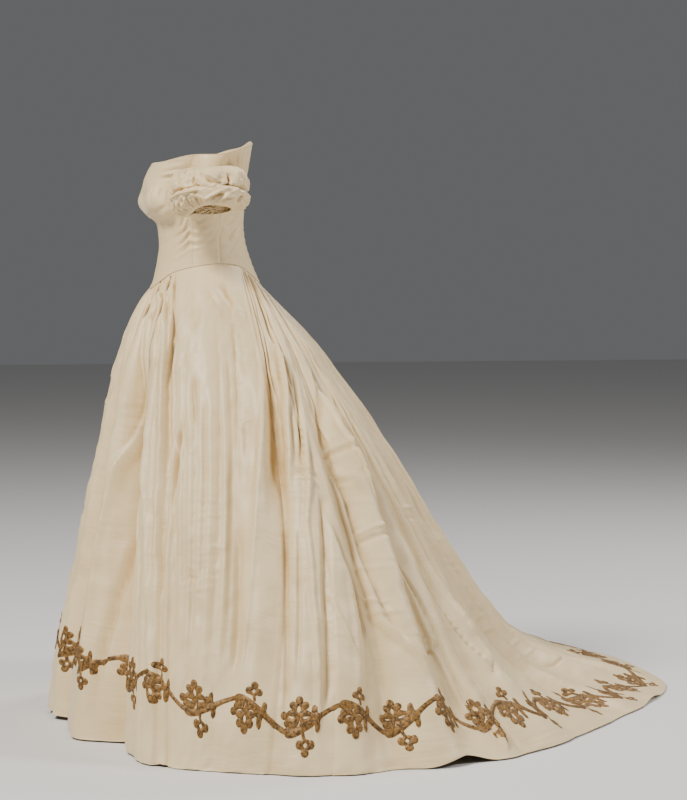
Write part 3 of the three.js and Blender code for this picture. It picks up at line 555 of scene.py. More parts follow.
def pleat_lines(seed):
    """The edges of the back's knife pleats, pressed in from the waist and opening below."""
    rng = np.random.default_rng(seed)
    rows = []
    for name, (start, end, count, *_) in PLEATS.items():
        if not name.startswith("back"):
            continue
        step = (end - start) / count
        for i in range(2 * count - 1):
            deg = start + step * (i + 1) / 2 + rng.uniform(-0.15, 0.15) * step
            back = 0.3 * step * (1 - i / (2 * count))
            foot = rng.uniform(0.26, 0.5)
            line = ((deg, 0.004), (deg, 0.08), (deg - back, 0.6 * foot), (deg - 1.6 * back, foot))
            rows.append((-rng.uniform(5, 9), rng.uniform(3.5, 6), 0.5, 0.03, 0.6, line))
    return tuple(rows)


class Ripple:
    """A gentle uneven swell over a surface: a sum of seeded waves in its own coordinates."""

    def __init__(self, seed, waves, length, height, sharp=False):
        rng = np.random.default_rng(seed)
        turn = rng.uniform(0, 2 * math.pi, waves)
        count = 2 * math.pi / (length * rng.uniform(0.6, 1.8, waves))
        self.u, self.v = count * np.cos(turn), count * np.sin(turn)
        self.phase = rng.uniform(0, 2 * math.pi, waves)
        self.height = height / math.sqrt(waves)
        self.sharp = sharp

    def __call__(self, u, v):
        total = np.zeros(np.broadcast(u, v).shape)
        for cu, cv, phase in zip(self.u, self.v, self.phase):
            wave = np.sin(cu * u + cv * v + phase)
            total = total + (1.3 - 2 * np.abs(wave) if self.sharp else wave)
        return total * self.height


def relined(rows, move):
    """The same creases, each point of their lines moved."""
    return tuple(row[:5] + (tuple(move(u, v) for u, v in row[5]),) for row in rows)


def by_degree(rows):
    return relined(rows, lambda deg, along: (float(place_of(deg)), along))


# Painted shade along slots so narrow that only their dark inside shows: how dark, then as for the creases.
SLOT_LINES = (
    (1.9, 6.5, 1.0, 0.02, 0.3, ((23, 0.002), (19, 0.022), (15, 0.047), (13, 0.075), (12, 0.1))),
    (2.2, 7.0, 1.0, 0.01, 0.4, ((38.5, 0.007), (28.5, 0.04), (22.5, 0.09), (20.5, 0.15), (20, 0.22),
        (20.5, 0.3))),
    (0.9, 6.0, 1.0, 0.2, 0.4, ((42, 0.06), (39, 0.12), (36, 0.18), (33, 0.26))),
    (1.0, 6.0, 1.0, 0.3, 0.3, ((21.2, 0.46), (22.5, 0.6), (23.7, 0.78), (24.2, 0.9))),
    (1.5, 5.5, 1.0, 0.02, 0.3, ((337, 0.002), (341, 0.022), (345, 0.05), (347, 0.09))),
    (1.6, 6.0, 1.0, 0.01, 0.4, ((322, 0.007), (331, 0.04), (337, 0.1), (339, 0.16), (339, 0.26))),
)
# Fields of folds that hang straight down: from and to in degrees, how many, height and half width.
FALL_FIELDS = (
    (48, 104, 11, 4.5, 17),
    (256, 312, 11, 4.5, 17),
    (166, 194, 8, 6.0, 15),
    (26, 44, 4, 4.0, 12),
    (316, 334, 4, 4.0, 12),
    (205, 228, 6, 6.0, 14),
)
ALL_SKIRT_CREASES = by_degree(
    SKIRT_CREASES + crinkles(CRINKLE_FIELDS, 11) + falls(FALL_FIELDS, 12) + pleat_lines(13)
)
ALL_SLOT_LINES = by_degree(SLOT_LINES)
SKIRT_SWELL = Ripple(5, 18, 170.0, 2.2)
SKIRT_FLUTTER = Ripple(6, 22, 55.0, 0.7)
SWELL_ROUND, SWELL_DOWN = 4200.0, 1200.0    # the skirt's girth and fall, as the ripples count them
SWELL_EASE = 0.12         # share of the fall over which they begin


def wrapped(creases, k):
    """Creases of the skirt, moved by whole turns to where the places k are."""
    rows = []
    for row in creases:
        for turn in (-1, 0, 1):
            line = tuple((u + turn * ROWS_ROUND, v) for u, v in row[5])
            if max(u for u, _ in line) >= np.min(k) - 1 and min(u for u, _ in line) <= np.max(k) + 1:
                rows.append(row[:5] + (line,))
    return rows


def skirt_skin(k, along):
    """Points of the skirt with all its folds, the outward direction and how far the folds stand out."""
    points, outward, relief = skirt_frame(k, along)
    creases = crease_height(plain_skirt(k, along), outward, plain_skirt, wrapped(ALL_SKIRT_CREASES, k))
    across, down = np.mod(k, ROWS_ROUND) / ROWS_ROUND * SWELL_ROUND, along * SWELL_DOWN
    loose = smooth(along / SWELL_EASE)
    height = creases + (SKIRT_SWELL(across, down) + SKIRT_FLUTTER(across, down)) * loose
    for deg, half, lift in HEM_ARCHES:
        beside = np.mod(k - place_of(deg) + ROWS_ROUND / 2, ROWS_ROUND) - ROWS_ROUND / 2
        points[..., 2] += lift * bump(beside / half) * smooth((along - ARCH_START) / (1 - ARCH_START))
    return points + outward * height[..., None], outward, relief + height


def hollow_share(relief, reach, deep, closed=False):
    """How deep each place lies in a narrow fold, from 0 to 1, for painted shade as warm as light through
    silk.
    """
    padded = np.pad(relief, ((0, 0), (reach + 1, reach)), mode="wrap" if closed else "edge")
    total = np.cumsum(padded, axis=1)
    span = 2 * reach + 1
    mean = (total[:, span:] - total[:, :-span]) / span
    return np.clip((mean - relief) / deep, 0, 1)


SLOT_REACH = 9.0          # how far beside a slot the cloth's level is taken
SLOT_DEPTHS = (2.0, 9.0)  # of a slot that looks fully dark, at the waist and at the hem
SLOT_FALLS = (0.05, 0.16, 0.5)    # where down the skirt the reach is worked out in columns
MOST_COLUMNS, LEAST_COLUMNS = 15, 3


def slot_share(points, relief, along):
    """Painted shade in a pleat's narrow slot, in a grid whose columns spread out as it falls."""
    deep = mix(*SLOT_DEPTHS, along)
    layers = []
    for fall in SLOT_FALLS:
        row = points[np.searchsorted(along[:, 0], fall)]
        spacing = np.linalg.norm(np.diff(row, axis=0), axis=-1).mean()
        reach = int(np.clip(round(SLOT_REACH / spacing), LEAST_COLUMNS, MOST_COLUMNS))
        layers.append(hollow_share(relief, reach, deep))
    top, middle, foot = layers
    return mix(mix(middle, top, smooth((0.14 - along) / 0.1)), foot, smooth((along - 0.2) / 0.2))


# ---------------------------------------------------------------- meshes
def mesh_object(name, points, faces, uvs, shade=None):
    """A smooth mesh, from points in millimetres. shade says how much painted shade each point gets, by how
    deep in a fold it lies.
    """
    mesh = bpy.data.meshes.new(name)
    mesh.from_pydata((np.asarray(points) * MM).tolist(), [], faces)
    mesh.polygons.foreach_set("use_smooth", [True] * len(mesh.polygons))
    corners = np.empty(len(mesh.loops), dtype=np.int32)
    mesh.loops.foreach_get("vertex_index", corners)
    layer = mesh.uv_layers.new(name="cloth")
    layer.data.foreach_set("uv", (np.asarray(uvs) * MM)[corners].ravel())
    if shade is not None:
        painted_shade = mesh.attributes.new("painted_shade", "FLOAT", "POINT")
        painted_shade.data.foreach_set("value", np.asarray(shade, float).ravel())
    mesh.update()
    obj = bpy.data.objects.new(name, mesh)
    bpy.context.scene.collection.objects.link(obj)
    return obj


def grid_faces(rows, columns, closed=False, first=0, turned=False):
    """Four-sided faces over a grid of points, counted row by row."""
    across = columns if closed else columns - 1
    i, j = (part.ravel() for part in np.meshgrid(range(rows - 1), range(across), indexing="ij"))
    beside = (j + 1) % columns
    row, below = i * columns, (i + 1) * columns
    quads = np.stack([row + j, below + j, below + beside, row + beside], axis=1)
    quads = quads[:, ::-1] if turned else quads
    return (quads + first).tolist()


def grid_normals(points, closed=False):
    if closed:
        across = np.roll(points, -1, axis=1) - np.roll(points, 1, axis=1)
    else:
        across = np.gradient(points, axis=1)
    normal = np.cross(np.gradient(points, axis=0), across)
    return normal / np.maximum(np.linalg.norm(normal, axis=-1, keepdims=True), 1e-9)


def cloth_uv(points):
    """Distances along a grid of points: round it, and down it."""
    across = np.linalg.norm(np.diff(points, axis=1), axis=-1)
    down = np.linalg.norm(np.diff(points, axis=0), axis=-1)
    middle = across[len(across) // 2]
    u = np.concatenate(([0.0], np.cumsum(middle)))
    v = np.concatenate(([0.0], np.cumsum(down.mean(axis=1))))
    return np.stack(np.meshgrid(u, v), axis=-1)


EDGE_ROUNDING = 0.1       # how far a turned edge stands out, in steps between rows
STEEP = 0.9               # the rise at which a cord's side is no longer taken from the vertical


def cloth_sheet(name, points, shade, closed=False, turned_rows=0):
    """One layer of cloth over a grid of points, with some of its last rows turned back inside."""
    normals = grid_normals(points, closed)
    uv = cloth_uv(points)
    if turned_rows:
        rows = -1 - np.arange(turned_rows)
        inner = points[rows] - normals[rows] * WALL
        edge = points[-1] - normals[-1] * (WALL / 2) + (points[-1] - points[-2]) * EDGE_ROUNDING
        points = np.concatenate((points, edge[None], inner))
        uv = np.concatenate((uv, np.repeat(uv[-1:], turned_rows + 1, axis=0)))
        shade = np.concatenate((shade, np.repeat(shade[-1:], turned_rows + 1, axis=0)))
    faces = grid_faces(points.shape[0], points.shape[1], closed)
    return mesh_object(name, points.reshape(-1, 3), faces, uv.reshape(-1, 2), shade.ravel())


def cloth_wall(name, points, shade=None):
    """A closed wall: the grid, the same grid a wall's thickness inside it, and the edges between."""
    rows, columns = points.shape[:2]
    inner = points - grid_normals(points) * WALL
    layer = rows * columns
    foot = layer - columns
    faces = grid_faces(rows, columns) + grid_faces(rows, columns, first=layer, turned=True)
    for j in range(columns - 1):
        faces.append((j, j + 1, layer + j + 1, layer + j))
        faces.append((foot + j + 1, foot + j, layer + foot + j, layer + foot + j + 1))
    for left in range(0, foot, columns):
        right = left + columns - 1
        faces.append((left + columns, left, layer + left, layer + left + columns))
        faces.append((right, right + columns, layer + right + columns, layer + right))
    uv = cloth_uv(points).reshape(-1, 2)
    both = np.concatenate((points.reshape(-1, 3), inner.reshape(-1, 3)))
    shade = np.zeros(layer) if shade is None else shade.ravel()
    obj = mesh_object(name, both, faces, np.tile(uv, (2, 1)), np.tile(shade, 2))
    obj.data.set_sharp_from_angle(angle=math.radians(60))
    return obj


def tube_parts(path, radius, sides=8, closed=False):
    """The points, faces and cloth coordinates of a round cord along a path, in millimetres."""
    path = np.asarray(path, float)
    if closed:
        along = np.roll(path, -1, axis=0) - np.roll(path, 1, axis=0)
    else:
        along = np.gradient(path, axis=0)
    along /= np.linalg.norm(along, axis=1, keepdims=True)
    up = np.tile((0.0, 0.0, 1.0), (len(path), 1))
    steep = np.abs(along[:, 2]) > STEEP
    up[steep] = (0.0, 1.0, 0.0)
    side = np.cross(along, up)
    side /= np.linalg.norm(side, axis=1, keepdims=True)
    over = np.cross(side, along)
    turn = np.arange(sides) / sides * 2 * math.pi
    ring = side[:, None] * np.cos(turn)[:, None] + over[:, None] * np.sin(turn)[:, None]
    grid = path[:, None] + ring * radius
    if closed:
        grid = np.concatenate((grid, grid[:1]))
    faces = grid_faces(len(grid), sides, closed=True)
    if not closed:
        last = (len(grid) - 1) * sides
        faces += [tuple(range(sides)), tuple(range(last, last + sides))[::-1]]
    length = np.concatenate(([0.0], np.cumsum(np.linalg.norm(np.diff(grid[:, 0], axis=0), axis=1))))
    uv = np.stack(np.meshgrid(np.arange(sides) * radius, length), axis=-1)
    return grid.reshape(-1, 3), faces, uv.reshape(-1, 2)


def tube(name, path, radius):
    return mesh_object(name, *tube_parts(path, radius))


# ---------------------------------------------------------------- materials
class Shading:
    """A node material, with short ways to add nodes and to link them."""

    def __init__(self, name, **settings):
        self.material = bpy.data.materials.new(name)
        self.material.use_nodes = True
        self.tree = self.material.node_tree
        self.shader = self.tree.nodes["Principled BSDF"]
        self.set_sockets(self.shader, settings)

    def set_sockets(self, node, settings):
        for name, setting in settings.items():
            node.inputs[name.replace("_", " ")].default_value = setting

    def cloth(self):
        """Distances along the cloth, in metres."""
        node = self.tree.nodes.new("ShaderNodeUVMap")
        node.uv_map = "cloth"
        return node.outputs["UV"]

    def place(self):
        return self.tree.nodes.new("ShaderNodeTexCoord").outputs["Object"]

    def noise(self, source, scale, size=1.0, detail=3.0, roughness=0.55):
        """Noise over stretched coordinates."""
        mapping = self.tree.nodes.new("ShaderNodeMapping")
        mapping.inputs["Scale"].default_value = scale
        self.tree.links.new(source, mapping.inputs["Vector"])
        noise = self.tree.nodes.new("ShaderNodeTexNoise")
        self.set_sockets(noise, {"Scale": size, "Detail": detail, "Roughness": roughness})
        self.tree.links.new(mapping.outputs["Vector"], noise.inputs["Vector"])
        return noise.outputs["Fac"]

    def mixed(self, kind, factor, a, b):
        """A colour mix. The factor and the colours may be sockets or plain values."""
        node = self.tree.nodes.new("ShaderNodeMix")
        node.data_type = "RGBA"
        node.blend_type = kind
        for socket, given in ((node.inputs[0], factor), (node.inputs[6], a), (node.inputs[7], b)):
            if isinstance(given, bpy.types.NodeSocket):
                self.tree.links.new(given, socket)
            else:
                socket.default_value = given if isinstance(given, (int, float)) else (*given, 1.0)
        return node.outputs[2]

    def ranged(self, source, low, high, to_low=0.0, to_high=1.0):
        node = self.tree.nodes.new("ShaderNodeMapRange")
        limits = {"From_Min": low, "From_Max": high, "To_Min": to_low, "To_Max": to_high}
        self.set_sockets(node, limits)
        self.tree.links.new(source, node.inputs["Value"])
        return node.outputs["Result"]

    def bump(self, height, strength, distance, under=None):
        """A relief, over another one if there is one under it."""
        node = self.tree.nodes.new("ShaderNodeBump")
        self.set_sockets(node, {"Strength": strength, "Distance": distance})
        self.tree.links.new(height, node.inputs["Height"])
        if under:
            self.tree.links.new(under, node.inputs["Normal"])
        return node.outputs["Normal"]

    def finish(self, colour, normal):
        self.tree.links.new(colour, self.shader.inputs["Base Color"])
        self.tree.links.new(normal, self.shader.inputs["Normal"])
        return self.material


# Silk: its sheen, how far the painted shade in its darkest hollows keeps the tan, the tint of its
# thick threads, and the strength and depth in metres of the cockling and of the weave.
SILK_SHEEN = {"Roughness": 0.46, "Sheen_Weight": 0.15, "Sheen_Roughness": 0.4, "Specular_IOR_Level": 0.45}
DARKEST = 0.35
SLUB_TINT, SLUB_SHARE = (0.80, 0.70, 0.56), 0.3
COCKLING = (0.34, 0.008)
WEAVE = (0.26, 0.0012)


def silk_material(name, light, shade, tan, slub=1.0):
    """Plain-woven silk: thick weft threads run across it; painted shade turns its hollows tan, then brown.
    """
    silk = Shading(name, **SILK_SHEEN)
    cloth = silk.cloth()
    weft = silk.noise(cloth, (26.0, 300.0, 1.0), 1.0, 4.0, 0.65)
    cockle = silk.noise(cloth, (10.0, 64.0, 1.0))
    patch = silk.ranged(silk.noise(cloth, (3.2, 5.0, 1.0), 1.0, 2.0, 0.5), 0.42, 0.62)
    cockle = silk.mixed("MULTIPLY", 1.0, cockle, patch)
    thread = silk.noise(cloth, (60.0, 2100.0, 1.0), 1.0, 2.0, 0.5)
    warp = silk.noise(cloth, (1500.0, 25.0, 1.0), 1.0, 2.0, 0.5)
    cloud = silk.noise(silk.place(), (1.0, 1.0, 1.0), 5.0, 4.0, 0.6)
    # Painted shade: tan in the folds and brown in the deepest, by how deep each place lies.
    painted_shade = silk.tree.nodes.new("ShaderNodeAttribute")
    painted_shade.attribute_name = "painted_shade"
    depth = painted_shade.outputs["Fac"]
    base = silk.mixed("MIX", silk.ranged(cloud, 0.38, 0.62), light, shade)
    base = silk.mixed("MIX", silk.ranged(depth, 0.0, 1.0), base, tan)
    base = silk.mixed("MIX", silk.ranged(depth, 0.9, 1.9), base, [DARKEST * part for part in tan])
    streak = silk.ranged(weft, 0.5, 0.74, 0.0, SLUB_SHARE * slub)
    base = silk.mixed("MULTIPLY", streak, base, SLUB_TINT)
    height = silk.mixed("MIX", 0.35, weft, thread)
    height = silk.mixed("MIX", 0.2, height, warp)
    uneven = silk.bump(cockle, COCKLING[0] * slub, COCKLING[1])
    return silk.finish(base, silk.bump(height, WEAVE[0] * slub, WEAVE[1], uneven))


def gold_thread_material():
    """Couched metal thread: narrow rows side by side, each with a painted highlight along it, and darker
    gold between them that tarnishes brown in random specks.
    """
    gold = Shading("gold_embroidery", Metallic=0.35, Roughness=0.5)
    rows = gold.noise(gold.cloth(), (1100.0, 160.0, 1.0), 1.0, 2.0, 0.5)
    tarnish = gold.ranged(gold.noise(gold.place(), (1.0, 1.0, 1.0), 150.0, 4.0, 0.7), 0.44, 0.58)
    base = gold.mixed("MIX", tarnish, (0.25, 0.125, 0.029), (0.036, 0.016, 0.005))
    # Painted highlight along the rows of thread.
    base = gold.mixed("MIX", gold.ranged(rows, 0.47, 0.7, 0.0, 0.55), base, (0.44, 0.25, 0.06))
    return gold.finish(base, gold.bump(rows, 0.7, 0.0009))


def cord_material():
    """Twisted silk cord."""
    cord = Shading("lace_cord", Roughness=0.75)
    twist = cord.tree.nodes.new("ShaderNodeTexWave")
    twist.wave_type = "BANDS"
    twist.bands_direction = "DIAGONAL"
    cord.set_sockets(twist, {"Scale": 260.0, "Distortion": 1.0})
    cord.tree.links.new(cord.cloth(), twist.inputs["Vector"])
    strand = twist.outputs["Fac"]
    base = cord.mixed("MIX", strand, (0.52, 0.42, 0.28), (0.72, 0.63, 0.48))
    return cord.finish(base, cord.bump(strand, 0.5, 0.0004))


# The third colour of each silk is the tan of its painted shade.
SILK = silk_material("silk", (0.80, 0.64, 0.378), (0.71, 0.55, 0.308), (0.60, 0.405, 0.165))
TRIM = silk_material("silk_trim", (0.80, 0.64, 0.38), (0.72, 0.56, 0.32), (0.60, 0.38, 0.17), slub=0.6)
GOLD = gold_thread_material()
CORD = cord_material()


def finish_piece(obj, material, slot, *nodes):
    """Gives a piece its material and its body, and hides the solids of the nodes it stands for. The slot is
    not used.
    """
    obj.data.materials.append(material)
    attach(obj, "root")
    if nodes:
        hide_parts(*nodes)
    return obj


def declare_cut(obj, length, layers=1, share=1.0):
    """Works out a piece of cloth's cut width from its longer cut side and the share of its rectangle that it
    fills; the result is not kept.
    """
    area = sum(polygon.area for polygon in obj.data.polygons) / layers
    length, width = round(float(length), 3), round(area / length / share, 3)


# ---------------------------------------------------------------- skirt
# Each width: its node, the pleat slots that its columns run between, and how many columns there are
# from each slot to the next.
SKIRT_PANELS = (
    ("skirt_front", (("front_right", 5), ("front_right", 0), ("front_left", 5)), (100, 100)),
    (
        "skirt_side_left",
        (("front_left", 5), ("front_left", 7), ("back_left", 0), ("back_left", 1)),
        (34, 78, 24),
    ),
    ("skirt_side_back_left", (("back_left", 1), ("back_left", 4)), (90,)),
    ("skirt_back_left", (("back_left", 4), ("back_left", 8)), (100,)),
    ("skirt_back_right", (("back_right", 8), ("back_right", 4)), (100,)),
    ("skirt_side_back_right", (("back_right", 4), ("back_right", 1)), (90,)),
    (
        "skirt_side_right",
        (("back_right", 1), ("back_right", 0), ("front_right", 7), ("front_right", 5)),
        (24, 62, 34),
    ),
)
SKIRT_ROWS = 300
ROW_CROWDING = 1.12       # how much closer the rows lie at the waist
SKIRT_FLAT_SHARE = 0.8    # of its rectangle that a width fills, as it narrows to the waist
SEAM_DIP = 1.4            # how far a seam draws the cloth in
SEAM_WIDTH = 5.0
SEAM_EASE = 0.04          # share of the fall over which a skirt seam begins
HEM_TURN_ROWS = 4
# Painted shade in the skirt's hollows: columns and depths for the wide ones, and how dark wide
# hollows and slots are painted above and below.
WIDE_REACH = 14
WIDE_DEPTHS = (9.0, 24.0)
WIDE_DARK = (0.7, 0.35)
SLOT_DARK = (1.2, 0.35)
DARK_FADE = 0.3           # share of the fall over which the one gives way to the other
DEEPEST_SHADE = 1.15


def slot_place(stop, lowest):
    """The place of a pleat's slot, on a turn that keeps a panel's stops in order."""
    start, end, count = PLEATS[stop[0]][:3]
    k = float(mix(place_of(start), place_of(end), stop[1] / count))
    return k + ROWS_ROUND if k < lowest else k


def seam_dip(points):
    """How far each point lies drawn in by the seams at the grid's two sides."""
    across = np.linalg.norm(np.diff(points, axis=1), axis=-1)
    from_left = np.concatenate((np.zeros((len(points), 1)), np.cumsum(across, axis=1)), axis=1)
    to_right = from_left[:, -1:] - from_left
    return SEAM_DIP * bump(np.minimum(from_left, to_right) / SEAM_WIDTH)


def panel_columns(stops, counts):
    """The places k of a skirt width's columns."""
    places = [slot_place(stops[0], 0.0)]
    for stop in stops[1:]:
        places.append(slot_place(stop, places[-1]))
    spans = zip(places, places[1:], counts)
    return np.append(np.concatenate([np.linspace(a, b, n, endpoint=False) for a, b, n in spans]), places[-1])


def skirt_shade(points, relief, k, along, outward):
    """How deep in a fold each place of the skirt lies, painted as shade: tan, then brown, and dark along the
    slots.
    """
    wide = hollow_share(relief, WIDE_REACH, mix(*WIDE_DEPTHS, along))
    wide = wide * mix(*WIDE_DARK, smooth((along - 0.5) / DARK_FADE))
    slot = slot_share(points, relief, along) * mix(*SLOT_DARK, smooth((along - 0.25) / DARK_FADE))
    dark = crease_height(plain_skirt(k, along), outward, plain_skirt, wrapped(ALL_SLOT_LINES, k))
    return np.minimum(wide + slot, DEEPEST_SHADE) + dark


def add_skirt():
    for node, stops, counts in SKIRT_PANELS:
        columns = panel_columns(stops, counts)
        k, along = np.meshgrid(columns, np.linspace(0, 1, SKIRT_ROWS) ** ROW_CROWDING)
        points, outward, relief = skirt_skin(k, along)
        points = points - outward * (seam_dip(points) * smooth(along / SEAM_EASE))[..., None]
        shade = skirt_shade(points, relief, k, along, outward)
        degrees = length_value(columns, "deg")
        tuck = torso_point(degrees, waist_seam(degrees) + SEAM_TUCK, -WALL - SEAM_GAP)
        points = np.concatenate((tuck[None], points))
        shade = np.concatenate((np.zeros((1, len(columns))), shade))
        obj = cloth_sheet(node + "_cloth", points, shade, turned_rows=HEM_TURN_ROWS)
        finish_piece(obj, SILK, "silk", node)
        length = np.linalg.norm(np.diff(points, axis=0), axis=-1).sum(axis=0).max() * MM
        declare_cut(obj, length, share=SKIRT_FLAT_SHARE)


# ---------------------------------------------------------------- bodice
BODICE_PANELS = (
    ("bodice_front", -68.0, 68.0, 156),
    ("bodice_side_left", 68.0, 101.0, 44),
    ("bodice_back_left", 101.0, 179.2, 90),
    ("bodice_back_right", 180.8, 259.0, 90),
    ("bodice_side_right", 259.0, 292.0, 44),
)
BODICE_ROWS = 96
BODICE_SWELL = Ripple(8, 20, 45.0, 0.7)
SWELL_PER_DEG, SWELL_PER_RISE = 2.4, 280.0
# How much fuller than the solid the bust is, round which height and angle, and where that ends.
BUST_FULLNESS, BUST_FULL_Z, BUST_FULL_HALF = 9.0, 129.0, 36.0
BUST_FULL_END, BUST_FULL_EASE = 75.0, 35.0
BODICE_CUT = 0.30         # the panels' length, in metres
BODICE_FLAT_SHARE = 0.85
# Strength of the painted shade in the bodice's creases.
BODICE_SHADE = 0.6
BODICE_SEAM = 0.8         # of the skirt seams' depth
# Darts and stays: a narrow sunk line each, by degree and rise.
BODICE_LINES = (
    (-1.6, 2.2, 1.0, 0.1, 0.2, ((17, 0.0), (17, 0.3), (18.5, 0.55))),
    (-1.6, 2.2, 1.0, 0.1, 0.2, ((28, 0.0), (29, 0.3), (31, 0.56))),
    (-1.6, 2.2, 1.0, 0.1, 0.2, ((-17, 0.0), (-17, 0.3), (-18.5, 0.55))),
    (-1.6, 2.2, 1.0, 0.1, 0.2, ((-28, 0.0), (-29, 0.3), (-31, 0.56))),
    (0.9, 3.0, 1.0, 0.1, 0.1, ((0, 0.02), (0, 0.5), (0, 0.98))),
    (-1.3, 2.2, 1.0, 0.05, 0.05, ((150, 0.0), (149, 0.5), (146, 1.0))),
    (-1.3, 2.2, 1.0, 0.05, 0.05, ((210, 0.0), (211, 0.5), (214, 1.0))),
    (1.1, 3.0, 1.0, 0.05, 0.05, ((173.5, 0.0), (173.5, 0.5), (173.5, 1.0))),
    (1.1, 3.0, 1.0, 0.05, 0.05, ((186.5, 0.0), (186.5, 0.5), (186.5, 1.0))),
)
BODICE_CREASES = (
    (-3, 8, 0.7, 0.3, 0.4, ((28, 0.965), (44, 0.96), (58, 0.945))),
    (-2.4, 5, 1.0, 0.25, 0.25, ((31, 0.80), (31.5, 0.72), (32, 0.63))),
    (2.4, 5, 1.0, 0.25, 0.25, ((34, 0.80), (34.5, 0.72), (35, 0.63))),
    (-3.5, 7, 0.7, 0.3, 0.4, ((30, 0.90), (44, 0.895), (60, 0.88))),
    (3.2, 6, 0.7, 0.3, 0.4, ((32, 0.865), (46, 0.86), (62, 0.85))),
    (-3.8, 6, 0.7, 0.3, 0.4, ((34, 0.83), (48, 0.825), (63, 0.82))),
    (-2.9, 6, 0.8, 0.3, 0.5, ((44, 0.78), (54, 0.77), (64, 0.765))),
    (-3.2, 6, 1.0, 0.3, 0.3, ((40, 0.76), (40.5, 0.70), (41, 0.64))),
    (2.9, 6, 1.0, 0.3, 0.3, ((44.5, 0.76), (45, 0.69), (45, 0.62))),
    (-3.2, 7, 0.8, 0.3, 0.4, ((24, 0.60), (36, 0.585), (50, 0.60))),
    (2.6, 6, 0.8, 0.3, 0.4, ((26, 0.56), (38, 0.545), (52, 0.56))),
    (-2.9, 8, 1.0, 0.3, 0.3, ((118, 0.98), (120, 0.90), (124, 0.80))),
    (2.9, 8, 1.0, 0.3, 0.3, ((126, 0.99), (129, 0.90), (134, 0.80))),
    (-2.9, 9, 1.0, 0.3, 0.3, ((138, 0.99), (141, 0.88), (144, 0.76))),
    (2.2, 8, 1.0, 0.3, 0.3, ((147, 0.98), (150, 0.88), (152, 0.76))),
)
# Drags of the cloth from the waist up to the arm, in front of the arm and behind it: the degrees that
# each line passes, how far it has climbed there, and for each line the crease's height and the
# height above the waist where it starts.
DRAGS = (
    (
        (39, 52, 65, 88),
        (0, 13, 28, 44),
        ((-3.4, 76), (3.0, 67), (-3.8, 57), (3.2, 48), (-3.4, 38), (2.8, 29), (-3.0, 19), (2.4, 9)),
    ),
    (
        (104, 120, 138, 156),
        (0, 20, 44, 64),
        ((-3.4, 92), (2.8, 80), (-3.8, 68), (3.0, 56), (-3.8, 43), (3.0, 31), (-3.2, 18), (2.4, 6)),
    ),
)
DRAG_WIDTH = 8


def rise_at(deg, z):
    """The rise at which the bodice reaches a height, in the middle of the torso."""
    low = float(waist_seam(deg))
    return (z - low) / (float(upper_edge(deg)) - low)


def drag_lines():
    rows = []
    for degrees, climbs, drags in DRAGS:
        for i, (high, foot) in enumerate(drags):
            shift = 3 * math.sin(2.4 * i)
            moved = [deg + shift for deg in degrees]
            line = tuple((deg, rise_at(deg, foot + climb)) for deg, climb in zip(moved, climbs))
            rows.append((high, DRAG_WIDTH, 0.7, 0.35, 0.6, line))
    return tuple(rows)


# Lobes of each puff: where round the sleeve and how wide, in turns from its outer side to the
# front, how far each swells out and how far it sags, in millimetres.
LOBES = {
    "sleeve_puff_upper": (
        (0.205, 0.045, 10, 5),
        (0.12, 0.03, 10, 13),
        (0.015, 0.05, 18, 19),
        (-0.09, 0.04, 13, 8),
        (-0.18, 0.06, 9, 6),
        (0.29, 0.05, 8, 5),
        (-0.28, 0.06, 8, 4),
    ),
    "sleeve_puff_lower": (
        (0.245, 0.045, 12, 8),
        (0.165, 0.045, 8, 1),
        (0.085, 0.04, 6, 1),
        (-0.01, 0.05, 14, 3),
        (-0.092, 0.045, 13, 4),
        (-0.175, 0.05, 9, 4),
        (-0.26, 0.06, 8, 3),
    ),
}
